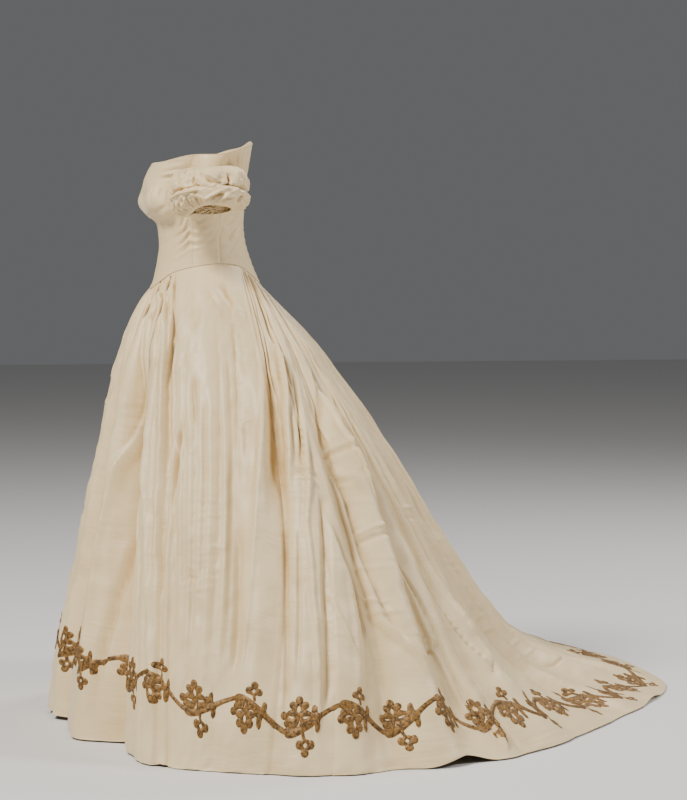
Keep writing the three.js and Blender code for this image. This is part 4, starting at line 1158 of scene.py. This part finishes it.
# Gathers and folds of each puff, as creases: lines of (turns, share of its fall).
GATHERS = {
    "sleeve_puff_upper": (
        (-14.6, 5, 0.6, 0.2, 0.3, ((0.083, 0.45), (0.088, 0.65), (0.082, 0.92))),
        (-12.5, 4, 0.6, 0.3, 0.3, ((0.048, 0.05), (0.035, 0.13), (0.0, 0.14), (-0.02, 0.12))),
        (-8.3, 6, 0.7, 0.3, 0.3, ((0.155, 0.45), (0.158, 0.65), (0.15, 0.92))),
        (-8.3, 7, 0.6, 0.3, 0.3, ((0.07, 0.25), (0.04, 0.5), (-0.03, 0.62))),
        (5.3, 6, 0.6, 0.3, 0.3, ((0.05, 0.33), (0.01, 0.45), (-0.05, 0.7))),
        (-12.5, 5, 0.6, 0.3, 0.3, ((-0.052, 0.35), (-0.06, 0.65), (-0.055, 0.93))),
        (-6.2, 5, 0.7, 0.3, 0.3, ((-0.085, 0.15), (-0.10, 0.4), (-0.12, 0.6))),
        (5.3, 5, 0.7, 0.3, 0.3, ((-0.075, 0.18), (-0.088, 0.4), (-0.105, 0.62))),
        (-6.2, 6, 0.7, 0.3, 0.3, ((0.19, 0.1), (0.185, 0.3), (0.20, 0.5))),
        (-6.2, 5, 0.7, 0.3, 0.3, ((0.135, 0.05), (0.13, 0.2), (0.125, 0.4))),
        (-10.4, 6, 0.6, 0.3, 0.3, ((-0.14, 0.3), (-0.142, 0.6), (-0.14, 0.92))),
        (-10.4, 6, 0.6, 0.3, 0.3, ((0.25, 0.3), (0.252, 0.6), (0.25, 0.92))),
    ),
    "sleeve_puff_lower": (
        (6.2, 5, 0.5, 0.2, 0.2, ((0.23, 0.30), (0.17, 0.24), (0.12, 0.27), (0.06, 0.24))),
        (-10.4, 4, 0.6, 0.3, 0.2, ((0.222, 0.42), (0.228, 0.65), (0.222, 0.97))),
        (-10.4, 4, 0.6, 0.3, 0.2, ((0.198, 0.40), (0.206, 0.65), (0.198, 0.97))),
        (-8.3, 3.5, 0.6, 0.3, 0.2, ((0.176, 0.42), (0.182, 0.7), (0.176, 0.97))),
        (-8.3, 3.5, 0.6, 0.3, 0.2, ((0.152, 0.38), (0.156, 0.7), (0.152, 0.97))),
        (-12.5, 4, 0.6, 0.3, 0.2, ((0.126, 0.36), (0.128, 0.6), (0.126, 0.97))),
        (-6.2, 3, 0.6, 0.3, 0.2, ((0.106, 0.5), (0.107, 0.7), (0.106, 0.97))),
        (-12.5, 3.5, 0.6, 0.3, 0.2, ((0.086, 0.5), (0.087, 0.7), (0.086, 0.97))),
        (-6.2, 3, 0.6, 0.3, 0.2, ((0.066, 0.55), (0.068, 0.75), (0.066, 0.97))),
        (6.2, 5, 0.5, 0.3, 0.3, ((0.055, 0.75), (0.01, 0.5), (-0.03, 0.3))),
        (-8.3, 5, 0.6, 0.3, 0.3, ((0.05, 0.9), (0.0, 0.6), (-0.045, 0.38))),
        (6.2, 5, 0.5, 0.3, 0.3, ((0.03, 0.97), (-0.02, 0.68), (-0.065, 0.42))),
        (-8.3, 5, 0.6, 0.3, 0.3, ((0.01, 0.97), (-0.04, 0.75), (-0.085, 0.5))),
        (-20.8, 5, 0.6, 0.3, 0.3, ((-0.098, 0.75), (-0.115, 0.55), (-0.14, 0.40))),
        (-8.3, 5, 0.6, 0.3, 0.3, ((-0.15, 0.5), (-0.155, 0.7), (-0.15, 0.95))),
        (-10.4, 5, 0.6, 0.3, 0.2, ((0.262, 0.35), (0.27, 0.65), (0.262, 0.97))),
        (-10.4, 5, 0.6, 0.3, 0.2, ((0.295, 0.35), (0.30, 0.65), (0.295, 0.97))),
    ),
}
SLEEVE_RINGS = {
    # centre, half width and depth, and heights on the outer and the inner side
    "middle": (190.0, -16.0, 43.0, 55.0, 176.0, 128.0),
    "opening": (187.0, -14.0, 42.0, 45.0, 131.0, 112.0),
}
PUFFS = (
    # name, swell, lean, ruffles, ruffle depth, droop
    ("sleeve_puff_upper", 24.0, 1.0, 8, 3.6, 0.0),
    ("sleeve_puff_lower", 23.0, 0.7, 9, 3.2, 14.0),
)
PUFF_ROWS, PUFF_COLUMNS = 56, 260
PUFF_CUT, CAP_CUT = 0.62, 0.14    # the cloth's length round the arm, in metres
SLEEVE_AXIS = (188.0, -15.0)
CAP_GRID = (16, 72)
CAP_SPAN = 0.9995         # share of the cap's half length, so that it ends clear of the bodice
CRUMPLE_ROUND, CRUMPLE_DOWN = 420.0, 60.0
# Painted shade along the seam where the two puffs meet.
GATHER_SHADE = 0.75


def bodice_relief(deg, rise):
    """The bodice, its outward direction, and how far darts, stays and drag creases raise it."""
    points = bodice_surface(deg, rise)
    outward = normal_of(bodice_surface, deg, np.clip(rise, 0.01, 0.99), 0.5, -0.01)
    own = BODICE_CREASES + drag_lines()
    mirrored = relined(own, lambda u, v: (360 - u, v))
    front = relined([row for row in own if row[5][0][0] < ARMHOLE_DEG], lambda u, v: (-u, v))
    height = crease_height(points, outward, bodice_surface, BODICE_LINES + own + mirrored + front)
    height += BODICE_SWELL(deg * SWELL_PER_DEG, rise * SWELL_PER_RISE) * bump((rise - 0.5) / 0.55)
    full = bump((points[..., 2] - BUST_FULL_Z) / BUST_FULL_HALF)
    full = full * smooth((BUST_FULL_END - side_deg(deg)) / BUST_FULL_EASE)
    return points + outward * (BUST_FULLNESS * full)[..., None], outward, height


def bodice_skin(deg, rise):
    points, outward, height = bodice_relief(deg, rise)
    return points + outward * height[..., None]


def add_bodice():
    for node, first, last, count in BODICE_PANELS:
        deg, rise = np.meshgrid(np.linspace(first, last, count), np.linspace(1, 0, BODICE_ROWS))
        points, outward, relief = bodice_relief(deg, rise)
        points = points + outward * (relief - BODICE_SEAM * seam_dip(points))[..., None]
        # Painted shade in the bodice's creases, darts and drags.
        obj = cloth_wall(node + "_cloth", points, BODICE_SHADE * hollow_share(relief, 8, 4.5))
        finish_piece(obj, SILK, "silk", node)
        declare_cut(obj, BODICE_CUT, layers=2, share=BODICE_FLAT_SHARE)


# ---------------------------------------------------------------- sleeves
def armhole_reach(z, direction):
    """Where the armhole's edge lies at a height: degrees from its middle."""
    reach = np.full(np.shape(z), ARMHOLE_HALF)
    for _ in range(4):
        neck_z = neckline(ARMHOLE_DEG + direction * reach)
        share = np.clip((z - UNDERARM_Z) / (neck_z - UNDERARM_Z), 0, 1)
        reach = ARMHOLE_HALF * share ** (1 / ARMHOLE_POWER)
    return reach


def cap_surface(across, rise):
    """The plain band that carries the neckline over the upper arm."""
    z = neckline(ARMHOLE_DEG + across * ARMHOLE_HALF) - CAP_DEPTH * (1 - rise)
    reach = armhole_reach(z, np.sign(across)) - CAP_GAP_DEG
    over_arm = CAP_BULGE * (1 - rise) * np.maximum(0, 1 - across ** 2)
    return torso_point(ARMHOLE_DEG + across * reach, z, over_arm)


def armhole_ring(turn):
    """Points round the seam between sleeve and bodice."""
    outward, across = np.cos(2 * math.pi * turn), -np.sin(2 * math.pi * turn)
    lap, away = SEAM_LAP * outward, WALL + SEAM_GAP
    over = cap_surface(across * CAP_END, lap / CAP_DEPTH)
    over = over + np.stack([away * outward, away * across, np.zeros_like(across)], axis=-1)
    foot = neckline(ARMHOLE_DEG) - CAP_DEPTH
    deg = ARMHOLE_DEG + across * armhole_reach(np.full(np.shape(across), foot), np.sign(across))
    under = torso_point(deg, upper_edge(deg) + lap, WALL + UNDERARM_GAP)
    return np.where((outward >= 0)[..., None], over, under)


def sleeve_ring(name, turn, lower=0.0):
    x, y, half_x, half_y, outer_z, inner_z = SLEEVE_RINGS[name]
    outward = np.cos(2 * math.pi * turn)
    z = mix(inner_z, outer_z, (1 + outward) / 2) - lower
    return np.stack([x + half_x * outward, y - half_y * np.sin(2 * math.pi * turn), z], axis=-1)


def plain_puff(number, turn, fall):
    """A puff as its solid has it, with lobes that swell and sag."""
    name, swell, lean, ruffles, depth, droop = PUFFS[number]
    top = armhole_ring(turn) if number == 0 else sleeve_ring("middle", turn, PUFF_GAP)
    bottom = sleeve_ring("middle" if number == 0 else "opening", turn)
    angle = 2 * math.pi * turn
    outward = np.stack([np.cos(angle), -np.sin(angle), np.zeros_like(angle)], axis=-1)
    clear = smooth((1.05 + np.cos(angle)) / 0.75)
    share = np.clip(fall, 0, 1)
    rounded = np.maximum(0, 1 - np.abs(2 * share ** lean - 1) ** 3) ** 0.75
    ruffle = 0.4 * (np.sin(angle * ruffles) + 0.5 * np.sin(angle * (ruffles - 3) + 1.3))
    out = swell * rounded + depth * ruffle * np.sin(math.pi * share)
    sag = droop * np.maximum(0, np.sin(angle)) ** 3 * share
    for at, half, more, lower in LOBES[name]:
        beside = bump((np.mod(turn - at + 0.5, 1.0) - 0.5) / (2 * half))
        out = out + more * beside * rounded
        sag = sag + lower * beside * bump((share - 0.7) / 0.45)
    point = mix(top, bottom, fall[..., None]) + outward * (out * clear)[..., None]
    point[..., 2] -= sag * clear
    return point


def side_gathers(name, seed):
    """Gathers on the stretch of a puff that faces the bodice."""
    rng = np.random.default_rng(seed)
    rows = []
    for turn in np.arange(0.33, 0.82, 0.03):
        at = turn - 1 + rng.uniform(-0.006, 0.006)
        high, width = -rng.uniform(2, 4), rng.uniform(3, 5)
        rows.append((high, width, 0.6, 0.3, 0.3, ((at, 0.2), (at + 0.006, 0.6), (at, 0.97))))
    return tuple(rows)


def handed(grid, hand):
    """A grid of the left sleeve as it is, or its columns turned round for the right one."""
    return grid if hand > 0 else grid[:, ::-1]


def puff_grid(number, name):
    """The points of a left puff with its gathers, and the painted shade of its folds and its seam."""
    surface = partial(plain_puff, number)
    turns = -np.arange(PUFF_COLUMNS) / PUFF_COLUMNS
    turn, fall = np.meshgrid(turns, np.linspace(0, 1, PUFF_ROWS))
    points = surface(turn, fall)
    outward = grid_normals(points, closed=True)
    near = np.where(turn < -0.5, turn + 1.0, turn)
    lines = GATHERS[name] + side_gathers(name, 3 + number)
    lines = relined(lines, lambda u, v: (u + 1.0 if u < -0.5 else u, v))
    height = crease_height(points, outward, surface, lines)
    crumple = Ripple(21 + number, 11, 36.0, 2.1, sharp=True)(near * CRUMPLE_ROUND, fall * CRUMPLE_DOWN)
    height = height + crumple * np.sin(math.pi * fall) ** 0.5
    points = points + outward * height[..., None]
    # Painted shade: in the puff's folds, by how far in each place lies, and next to the seam between the
    # puffs.
    reach = np.hypot(points[..., 0] - SLEEVE_AXIS[0], points[..., 1] - SLEEVE_AXIS[1])
    seam = smooth((fall - 0.84) / 0.16) if number == 0 else smooth((0.12 - fall) / 0.12)
    return points, hollow_share(reach, 10, 9.0, closed=True) + GATHER_SHADE * seam


def add_sleeve(side, hand):
    rows, columns = CAP_GRID
    across, rise = np.meshgrid(np.linspace(-1, 1, columns), np.linspace(1, 0, rows))
    points = handed(cap_surface(across * CAP_SPAN, rise) * (hand, 1, 1), hand)
    cap = finish_piece(cloth_wall(f"sleeve_cap_{side}_cloth", points), SILK, "silk", f"sleeve_cap_{side}")
    declare_cut(cap, CAP_CUT, layers=2)
    for number, (name, *_) in enumerate(PUFFS):
        points, shade = puff_grid(number, name)
        points, shade = handed(points * (hand, 1, 1), hand), handed(shade, hand)
        turned_rows = 4 * number
        obj = cloth_sheet(f"{name}_{side}_cloth", points, shade, closed=True, turned_rows=turned_rows)
        finish_piece(obj, SILK, "silk", f"{name}_{side}")
        declare_cut(obj, PUFF_CUT)


# ---------------------------------------------------------------- trimming
PIPING_RADIUS = 0.9
PIPING_SUNK = 0.4         # how far it is let in behind the cloth's edge
EDGE_POINTS = 60
BACK_EDGES = {"left": 179.2, "right": 180.8}
# Piping along the bodice: from and to in degrees, at which rise, and how many points.
PIPING = (
    ("neck_piping_front", -61.9, 61.9, 1.0, 120),
    ("neck_piping_back_left", 106.2, BACK_EDGES["left"], 1.0, 70),
    ("neck_piping_back_right", BACK_EDGES["right"], 253.8, 1.0, 70),
    ("waist_piping_left", 0.0, BACK_EDGES["left"], 0.0, 160),
    ("waist_piping_right", BACK_EDGES["right"], 360.0, 0.0, 160),
)
CAP_PIPING_SPAN = 0.99
EYELETS = 20              # on each side
EYELET_DEG = 4.0
EYELET_RADIUS, EYELET_THREAD = 2.3, 0.75
EYELET_STANDOFF = 0.9
EYELET_POINTS = 20
LACE_STANDOFF = 1.8
LACE_RADIUS = 0.99
LACE_STEPS = 10           # from one eyelet to the next


def add_piping():
    """Piped edges of the bodice: round the neckline, along the back opening and at the waist."""
    for name, first, last, rise, count in PIPING:
        deg = np.linspace(first, last, count)
        path = bodice_skin(deg[None], np.full((1, count), rise))[0]
        turn = np.radians(deg)
        path = path - PIPING_SUNK * np.stack([np.sin(turn), -np.cos(turn), np.zeros(count)], axis=-1)
        finish_piece(tube(name, path, PIPING_RADIUS), TRIM, "silk")
    for side, deg in BACK_EDGES.items():
        rise = np.linspace(0.0, 1.0, EDGE_POINTS)
        path = bodice_skin(np.full((1, EDGE_POINTS), deg), rise[None])[0]
        finish_piece(tube(f"back_edge_{side}", path, PIPING_RADIUS), TRIM, "silk")
    for side, hand in (("left", 1), ("right", -1)):
        across = np.linspace(-CAP_PIPING_SPAN, CAP_PIPING_SPAN, EDGE_POINTS)
        path = cap_surface(across, np.ones(EDGE_POINTS)) * (hand, 1, 1)
        finish_piece(tube(f"neck_piping_cap_{side}", path, PIPING_RADIUS), TRIM, "silk")


def add_lacing():
    """One cord from side to side through two rows of worked eyelets."""
    rise = np.linspace(0.03, 0.965, 2 * EYELETS)
    deg = 180 + EYELET_DEG * np.where(np.arange(2 * EYELETS) % 2, 1.0, -1.0)
    stations = bodice_skin(deg[None], rise[None])[0]
    shares = np.arange(LACE_STEPS) / LACE_STEPS
    path = [mix(a, b, share) for a, b in zip(stations, stations[1:]) for share in shares]
    path = np.array(path + [stations[-1]])
    lift = np.abs(np.sin(np.arange(len(path)) / LACE_STEPS * math.pi))
    path[:, 1] += LACE_STANDOFF * (0.45 + 0.75 * lift)
    finish_piece(tube("back_lacing_cord", path, LACE_RADIUS), CORD, "lace_cord", "back_lacing")
    turn = np.linspace(0, 2 * math.pi, EYELET_POINTS, endpoint=False)
    ring = np.stack([np.cos(turn), np.zeros(EYELET_POINTS), np.sin(turn)], axis=-1) * EYELET_RADIUS
    points, faces = [], []
    for centre in stations + (0, EYELET_STANDOFF, 0):
        first = len(points)
        own, own_faces, _ = tube_parts(centre + ring, EYELET_THREAD, sides=6, closed=True)
        points += own.tolist()
        faces += [tuple(i + first for i in face) for face in own_faces]
    points = np.array(points)
    finish_piece(mesh_object("back_eyelets", points, faces, points[:, [0, 2]]), CORD, "lace_cord")


# ---------------------------------------------------------------- embroidery
MOTIF_LENGTH = 214.0
VINE_MIDDLE = 130.0       # how high the vine runs above the hem, at the side
VINE_SLOPE = 26.0         # and how much higher at the front
VINE_WAVE = 24.0
BAND_SECTION = ((-1.0, -0.8), (-0.62, 1.2), (0.0, 1.7), (0.62, 1.2), (1.0, -0.8))
LOBE_RINGS = ((1.0, -0.8), (0.82, 1.2), (0.42, 1.7))
LOBE_SIDES = 12


class Needlework:
    """Gold thread as places (round the hem, above it), heights over the cloth, rows and faces."""

    def __init__(self):
        self.places, self.lifts, self.uvs, self.faces = [], [], [], []
        self.count = 0
        self.rng = np.random.default_rng(17)

    def lay(self, place, lift, uv, faces):
        self.places.append(place.reshape(-1, 2))
        self.lifts.append(lift.ravel() + self.rng.uniform(0.0, 0.5))
        self.uvs.append(uv.reshape(-1, 2))
        self.faces += [tuple(self.count + i for i in face) for face in faces]
        self.count += lift.size

    def band(self, path, widths, steps=4):
        """A band along a smooth path, rounded at both its ends."""
        path = np.asarray(path, float)
        knots = np.concatenate((2 * path[:1] - path[1:2], path, 2 * path[-1:] - path[-2:-1]))
        even = np.linspace(0, 1, steps * (len(path) - 1) + 1)
        t = (len(path) - 1 - 1e-6) * np.clip(even - 0.09 * np.sin(2 * math.pi * even) / math.pi, 0, 1)
        low = np.floor(t).astype(int)
        p0, p1, p2, p3 = (knots[low + i] for i in range(4))
        centre = hermite((t - low)[:, None], p1, p2, (p2 - p0) / 2, (p3 - p1) / 2)
        along = np.gradient(centre, axis=0)
        along /= np.maximum(np.linalg.norm(along, axis=1, keepdims=True), 1e-9)
        across = np.stack([-along[:, 1], along[:, 0]], axis=1)
        length = np.concatenate(([0.0], np.cumsum(np.linalg.norm(np.diff(centre, axis=0), axis=1))))
        half = np.interp(t, np.linspace(0, len(path) - 1, len(widths)), widths) / 2
        for end in (length, length[-1] - length):
            half = half * np.sqrt(np.clip(1 - (1 - np.minimum(end / half, 1)) ** 2, 0.05, 1))
        shares, lifts = np.array(BAND_SECTION).T
        place = centre + across * (half * shares[:, None])[..., None]
        lift = np.repeat(lifts[:, None], len(t), axis=1)
        uv = np.stack([half * shares[:, None], np.broadcast_to(length, lift.shape)], axis=-1)
        self.lay(place, lift, uv, grid_faces(len(shares), len(t), turned=True))

    def lobe(self, base, tip, width):
        """A round lobe from its base to its tip."""
        base, tip = np.asarray(base, float), np.asarray(tip, float)
        centre, reach = (base + tip) / 2, (tip - base) / 2
        beside = np.array([-reach[1], reach[0]]) / np.linalg.norm(reach) * width / 2
        turn = np.arange(LOBE_SIDES) / LOBE_SIDES * 2 * math.pi
        outline = np.cos(turn)[:, None] * reach + np.sin(turn)[:, None] * beside
        shares, lifts = np.array(LOBE_RINGS).T
        place = np.concatenate(((centre + shares[:, None, None] * outline).reshape(-1, 2), centre[None]))
        lift = np.append(np.repeat(lifts, LOBE_SIDES), lifts[-1] + 0.1)
        rings = len(shares)
        faces = grid_faces(rings, LOBE_SIDES, closed=True)
        last = (rings - 1) * LOBE_SIDES
        faces += [(last + i, rings * LOBE_SIDES, last + (i + 1) % LOBE_SIDES) for i in range(LOBE_SIDES)]
        self.lay(place, lift, place - centre, faces)


def turned(points, angle):
    c, s = math.cos(angle), math.sin(angle)
    return np.asarray(points, float) @ np.array([[c, s], [-s, c]])


# Lobes of a leaf that grows up from nought: base, tip and width.
SIDE_LOBES = (((-4, 5), (-20, 4), 15), ((-4, 14), (-19, 22), 16))
TIP_LOBE = ((0, 18), (0, 36), 17)


def leaf(work, put, hands=(-1, 1)):
    """Two arms round an open middle, with a round lobe at the tip and two at each side."""
    for hand in (-1, 1):
        work.band(put([(0, 0), (hand * 7, 6), (hand * 7.5, 15), (hand * 1, 22)]), (8, 11.5, 11.5, 9))
    for hand in hands:
        for base, tip, width in SIDE_LOBES:
            work.lobe(*put([(hand * base[0], base[1]), (hand * tip[0], tip[1])]), width)
    work.lobe(*put([TIP_LOBE[0], TIP_LOBE[1]]), TIP_LOBE[2])


def placed(origin, angle, size, put=lambda points: points):
    return lambda points: put(np.asarray(origin, float) + turned(np.asarray(points, float) * size, angle))


def leaf_cluster(work, put):
    """Three leaves on one curved stem."""
    work.band(put([(-9, -3), (-2, 5), (0, 17)]), (8, 7.5, 7))
    leaf(work, placed((0, 16), 0.0, 0.92, put))
    leaf(work, placed((-3, 12), 1.42, 0.84, put), hands=(1,))
    leaf(work, placed((3, 12), -1.42, 0.84, put), hands=(-1,))
    for hand in (-1, 1):
        work.lobe(*put([(hand * 12, 8), (hand * 15, -4)]), 12)


def trefoil(work, put):
    """Three round lobes about an open middle, on a short stem."""
    work.band(put([(5, -3), (3, 5), (-1, 9)]), (8, 6.5, 6))
    for hand in (-1, 1):
        work.band(put([(0, 8), (hand * 6, 12), (hand * 6, 18), (0, 22)]), (6.5, 9, 9, 8))
        work.lobe(*put([(hand * 4, 13), (hand * 17, 16)]), 15)
    work.lobe(*put([(0, 18), (0, 33)]), 16)


# Half a wave of the vine: share of its length, height as a share of the wave, and width.
VINE = (
    (-0.10, 0.82, 19),
    (0.0, 1.0, 20),
    (0.12, 0.95, 16),
    (0.3, 0.6, 14),
    (0.47, 0.12, 15),
    (0.56, -0.16, 12.5),
    (0.7, -0.56, 11),
    (0.9, -0.95, 10.5),
    (1.04, -1.0, 10.5),
)
VINE_KNOT = 4


def vine_run(work, start, rising):
    """Half a wave of the vine: a thick rounded end, a knot with a bud on each side, and a thin end."""
    half = MOTIF_LENGTH / 2
    along, sway, widths = np.array(VINE).T
    sway = sway * (-VINE_WAVE if rising else VINE_WAVE)
    path = np.stack([start + along * half, sway], axis=1)
    work.band(path, widths)
    knot = path[VINE_KNOT]
    lean = 1 if rising else -1
    work.lobe(knot - (9, -5 * lean), knot + (9, -5 * lean), 21)
    for hand, length in ((-1, 27), (1, 20)):
        tip = knot + np.array([3.0 * hand, hand * lean * -length])
        work.band([knot, mix(knot, tip, 0.5) + (2.5 * hand, 0), tip], (13, 12, 9.5), steps=3)


def hem_band(repeats):
    """The whole band round the hem, its heights counted from the vine's middle line."""
    work = Needlework()
    for number in range(repeats):
        crest = (number + 0.25) * MOTIF_LENGTH
        trough = crest + MOTIF_LENGTH / 2
        vine_run(work, crest, False)
        vine_run(work, trough, True)
        for draw, at, up, angle, size in (
            (leaf_cluster, crest + 16, VINE_WAVE - 8, math.pi + 0.12, 1.0),
            (trefoil, crest + 30, VINE_WAVE + 1, -0.1, 1.0),
            (leaf_cluster, trough + 16, 10 - VINE_WAVE, 0.08, 1.04),
            (trefoil, trough + 32, -VINE_WAVE - 1, math.pi, 0.96),
        ):
            origin = (at + work.rng.uniform(-2, 2), up + work.rng.uniform(-1, 1))
            size *= work.rng.uniform(1.0, 1.12)
            draw(work, placed(origin, angle + work.rng.uniform(-0.08, 0.08), size))
    return work


HEM_STEPS = 1500
HEM_GUIDE = 0.86          # share of the fall from which lengths above the hem are measured


def add_embroidery():
    """Gold thread laid round the skirt, a hand's breadth above its hem."""
    k = np.linspace(0, ROWS_ROUND, HEM_STEPS)
    low, hem = plain_skirt(k, np.full_like(k, HEM_GUIDE)), plain_skirt(k, np.ones_like(k))
    rate = np.linalg.norm(hem - low, axis=-1) / (1 - HEM_GUIDE)
    middle = VINE_MIDDLE + VINE_SLOPE * np.cos(np.radians(length_value(k, "deg")))
    ring = plain_skirt(k, 1 - middle / rate)
    around = np.concatenate(([0.0], np.cumsum(np.linalg.norm(np.diff(ring, axis=0), axis=1))))
    repeats = round(around[-1] / MOTIF_LENGTH)
    work = hem_band(repeats)
    place, lift = np.concatenate(work.places), np.concatenate(work.lifts)
    at = np.interp(np.mod(place[:, 0] / (repeats * MOTIF_LENGTH), 1.0) * around[-1], around, k)
    along = 1 - (place[:, 1] + np.interp(at, k, middle)) / np.interp(at, k, rate)
    points, outward, _ = skirt_skin(at, along)
    points = points + outward * lift[:, None]
    obj = mesh_object("hem_embroidery", points, work.faces, np.concatenate(work.uvs))
    finish_piece(obj, GOLD, "gold_embroidery")


# ---------------------------------------------------------------- stage
FLOOR_SIZE, FLOOR_GAP = 40, 0.0005
AIM = Vector((0.0, 0.15, -0.35))
# Area lights: place, size and power.
LIGHTS = {
    "key": ((2.8, -3.6, 4.4), 1.5, 640),
    "side": ((2.4, 5.0, 3.0), 1.4, 210),
    "back": ((-2.4, 3.2, 3.4), 1.6, 120),
}
LIGHT_COLOUR = (1.0, 0.965, 0.92)
WORLD_COLOUR, WORLD_STRENGTH = (0.86, 0.87, 0.89, 1), 0.15
CAMERA_PLACE = (5.444, -0.8413, 0.0)
CAMERA_LOOK = Vector((-0.97815, 0.20791, 0.0))
LENS, SENSOR, LENS_SHIFT = 112.5, 36.0, -0.16625


def add_floor():
    bpy.ops.mesh.primitive_plane_add(size=FLOOR_SIZE, location=(0, 0, -WAIST_HEIGHT * MM - FLOOR_GAP))
    floor = bpy.context.object
    floor.name = "studio_floor"
    pale = Shading("studio_floor", Base_Color=(0.72, 0.71, 0.70, 1), Roughness=0.8)
    floor.data.materials.append(pale.material)


def add_lights():
    world = bpy.data.worlds.new("studio")
    bpy.context.scene.world = world
    world.use_nodes = True
    sky = world.node_tree.nodes["Background"]
    sky.inputs["Color"].default_value = WORLD_COLOUR
    sky.inputs["Strength"].default_value = WORLD_STRENGTH
    for name, (where, size, power) in LIGHTS.items():
        data = bpy.data.lights.new(name, "AREA")
        data.size = size
        data.energy = power
        data.color = LIGHT_COLOUR
        light = bpy.data.objects.new(name, data)
        light.location = where
        light.rotation_euler = (AIM - light.location).to_track_quat("-Z", "Y").to_euler()
        bpy.context.scene.collection.objects.link(light)


def add_camera():
    """The camera at the photo's angle and height."""
    lens = bpy.data.cameras.new("camera")
    lens.lens = LENS
    lens.sensor_width = SENSOR
    lens.shift_y = LENS_SHIFT
    camera = bpy.data.objects.new("camera", lens)
    camera.location = CAMERA_PLACE
    camera.rotation_euler = CAMERA_LOOK.to_track_quat("-Z", "Y").to_euler()
    bpy.context.scene.collection.objects.link(camera)
    bpy.context.scene.camera = camera


add_bodice()
add_sleeve("left", 1)
add_sleeve("right", -1)
add_piping()
add_lacing()
add_skirt()
add_embroidery()
add_floor()
add_lights()
add_camera()
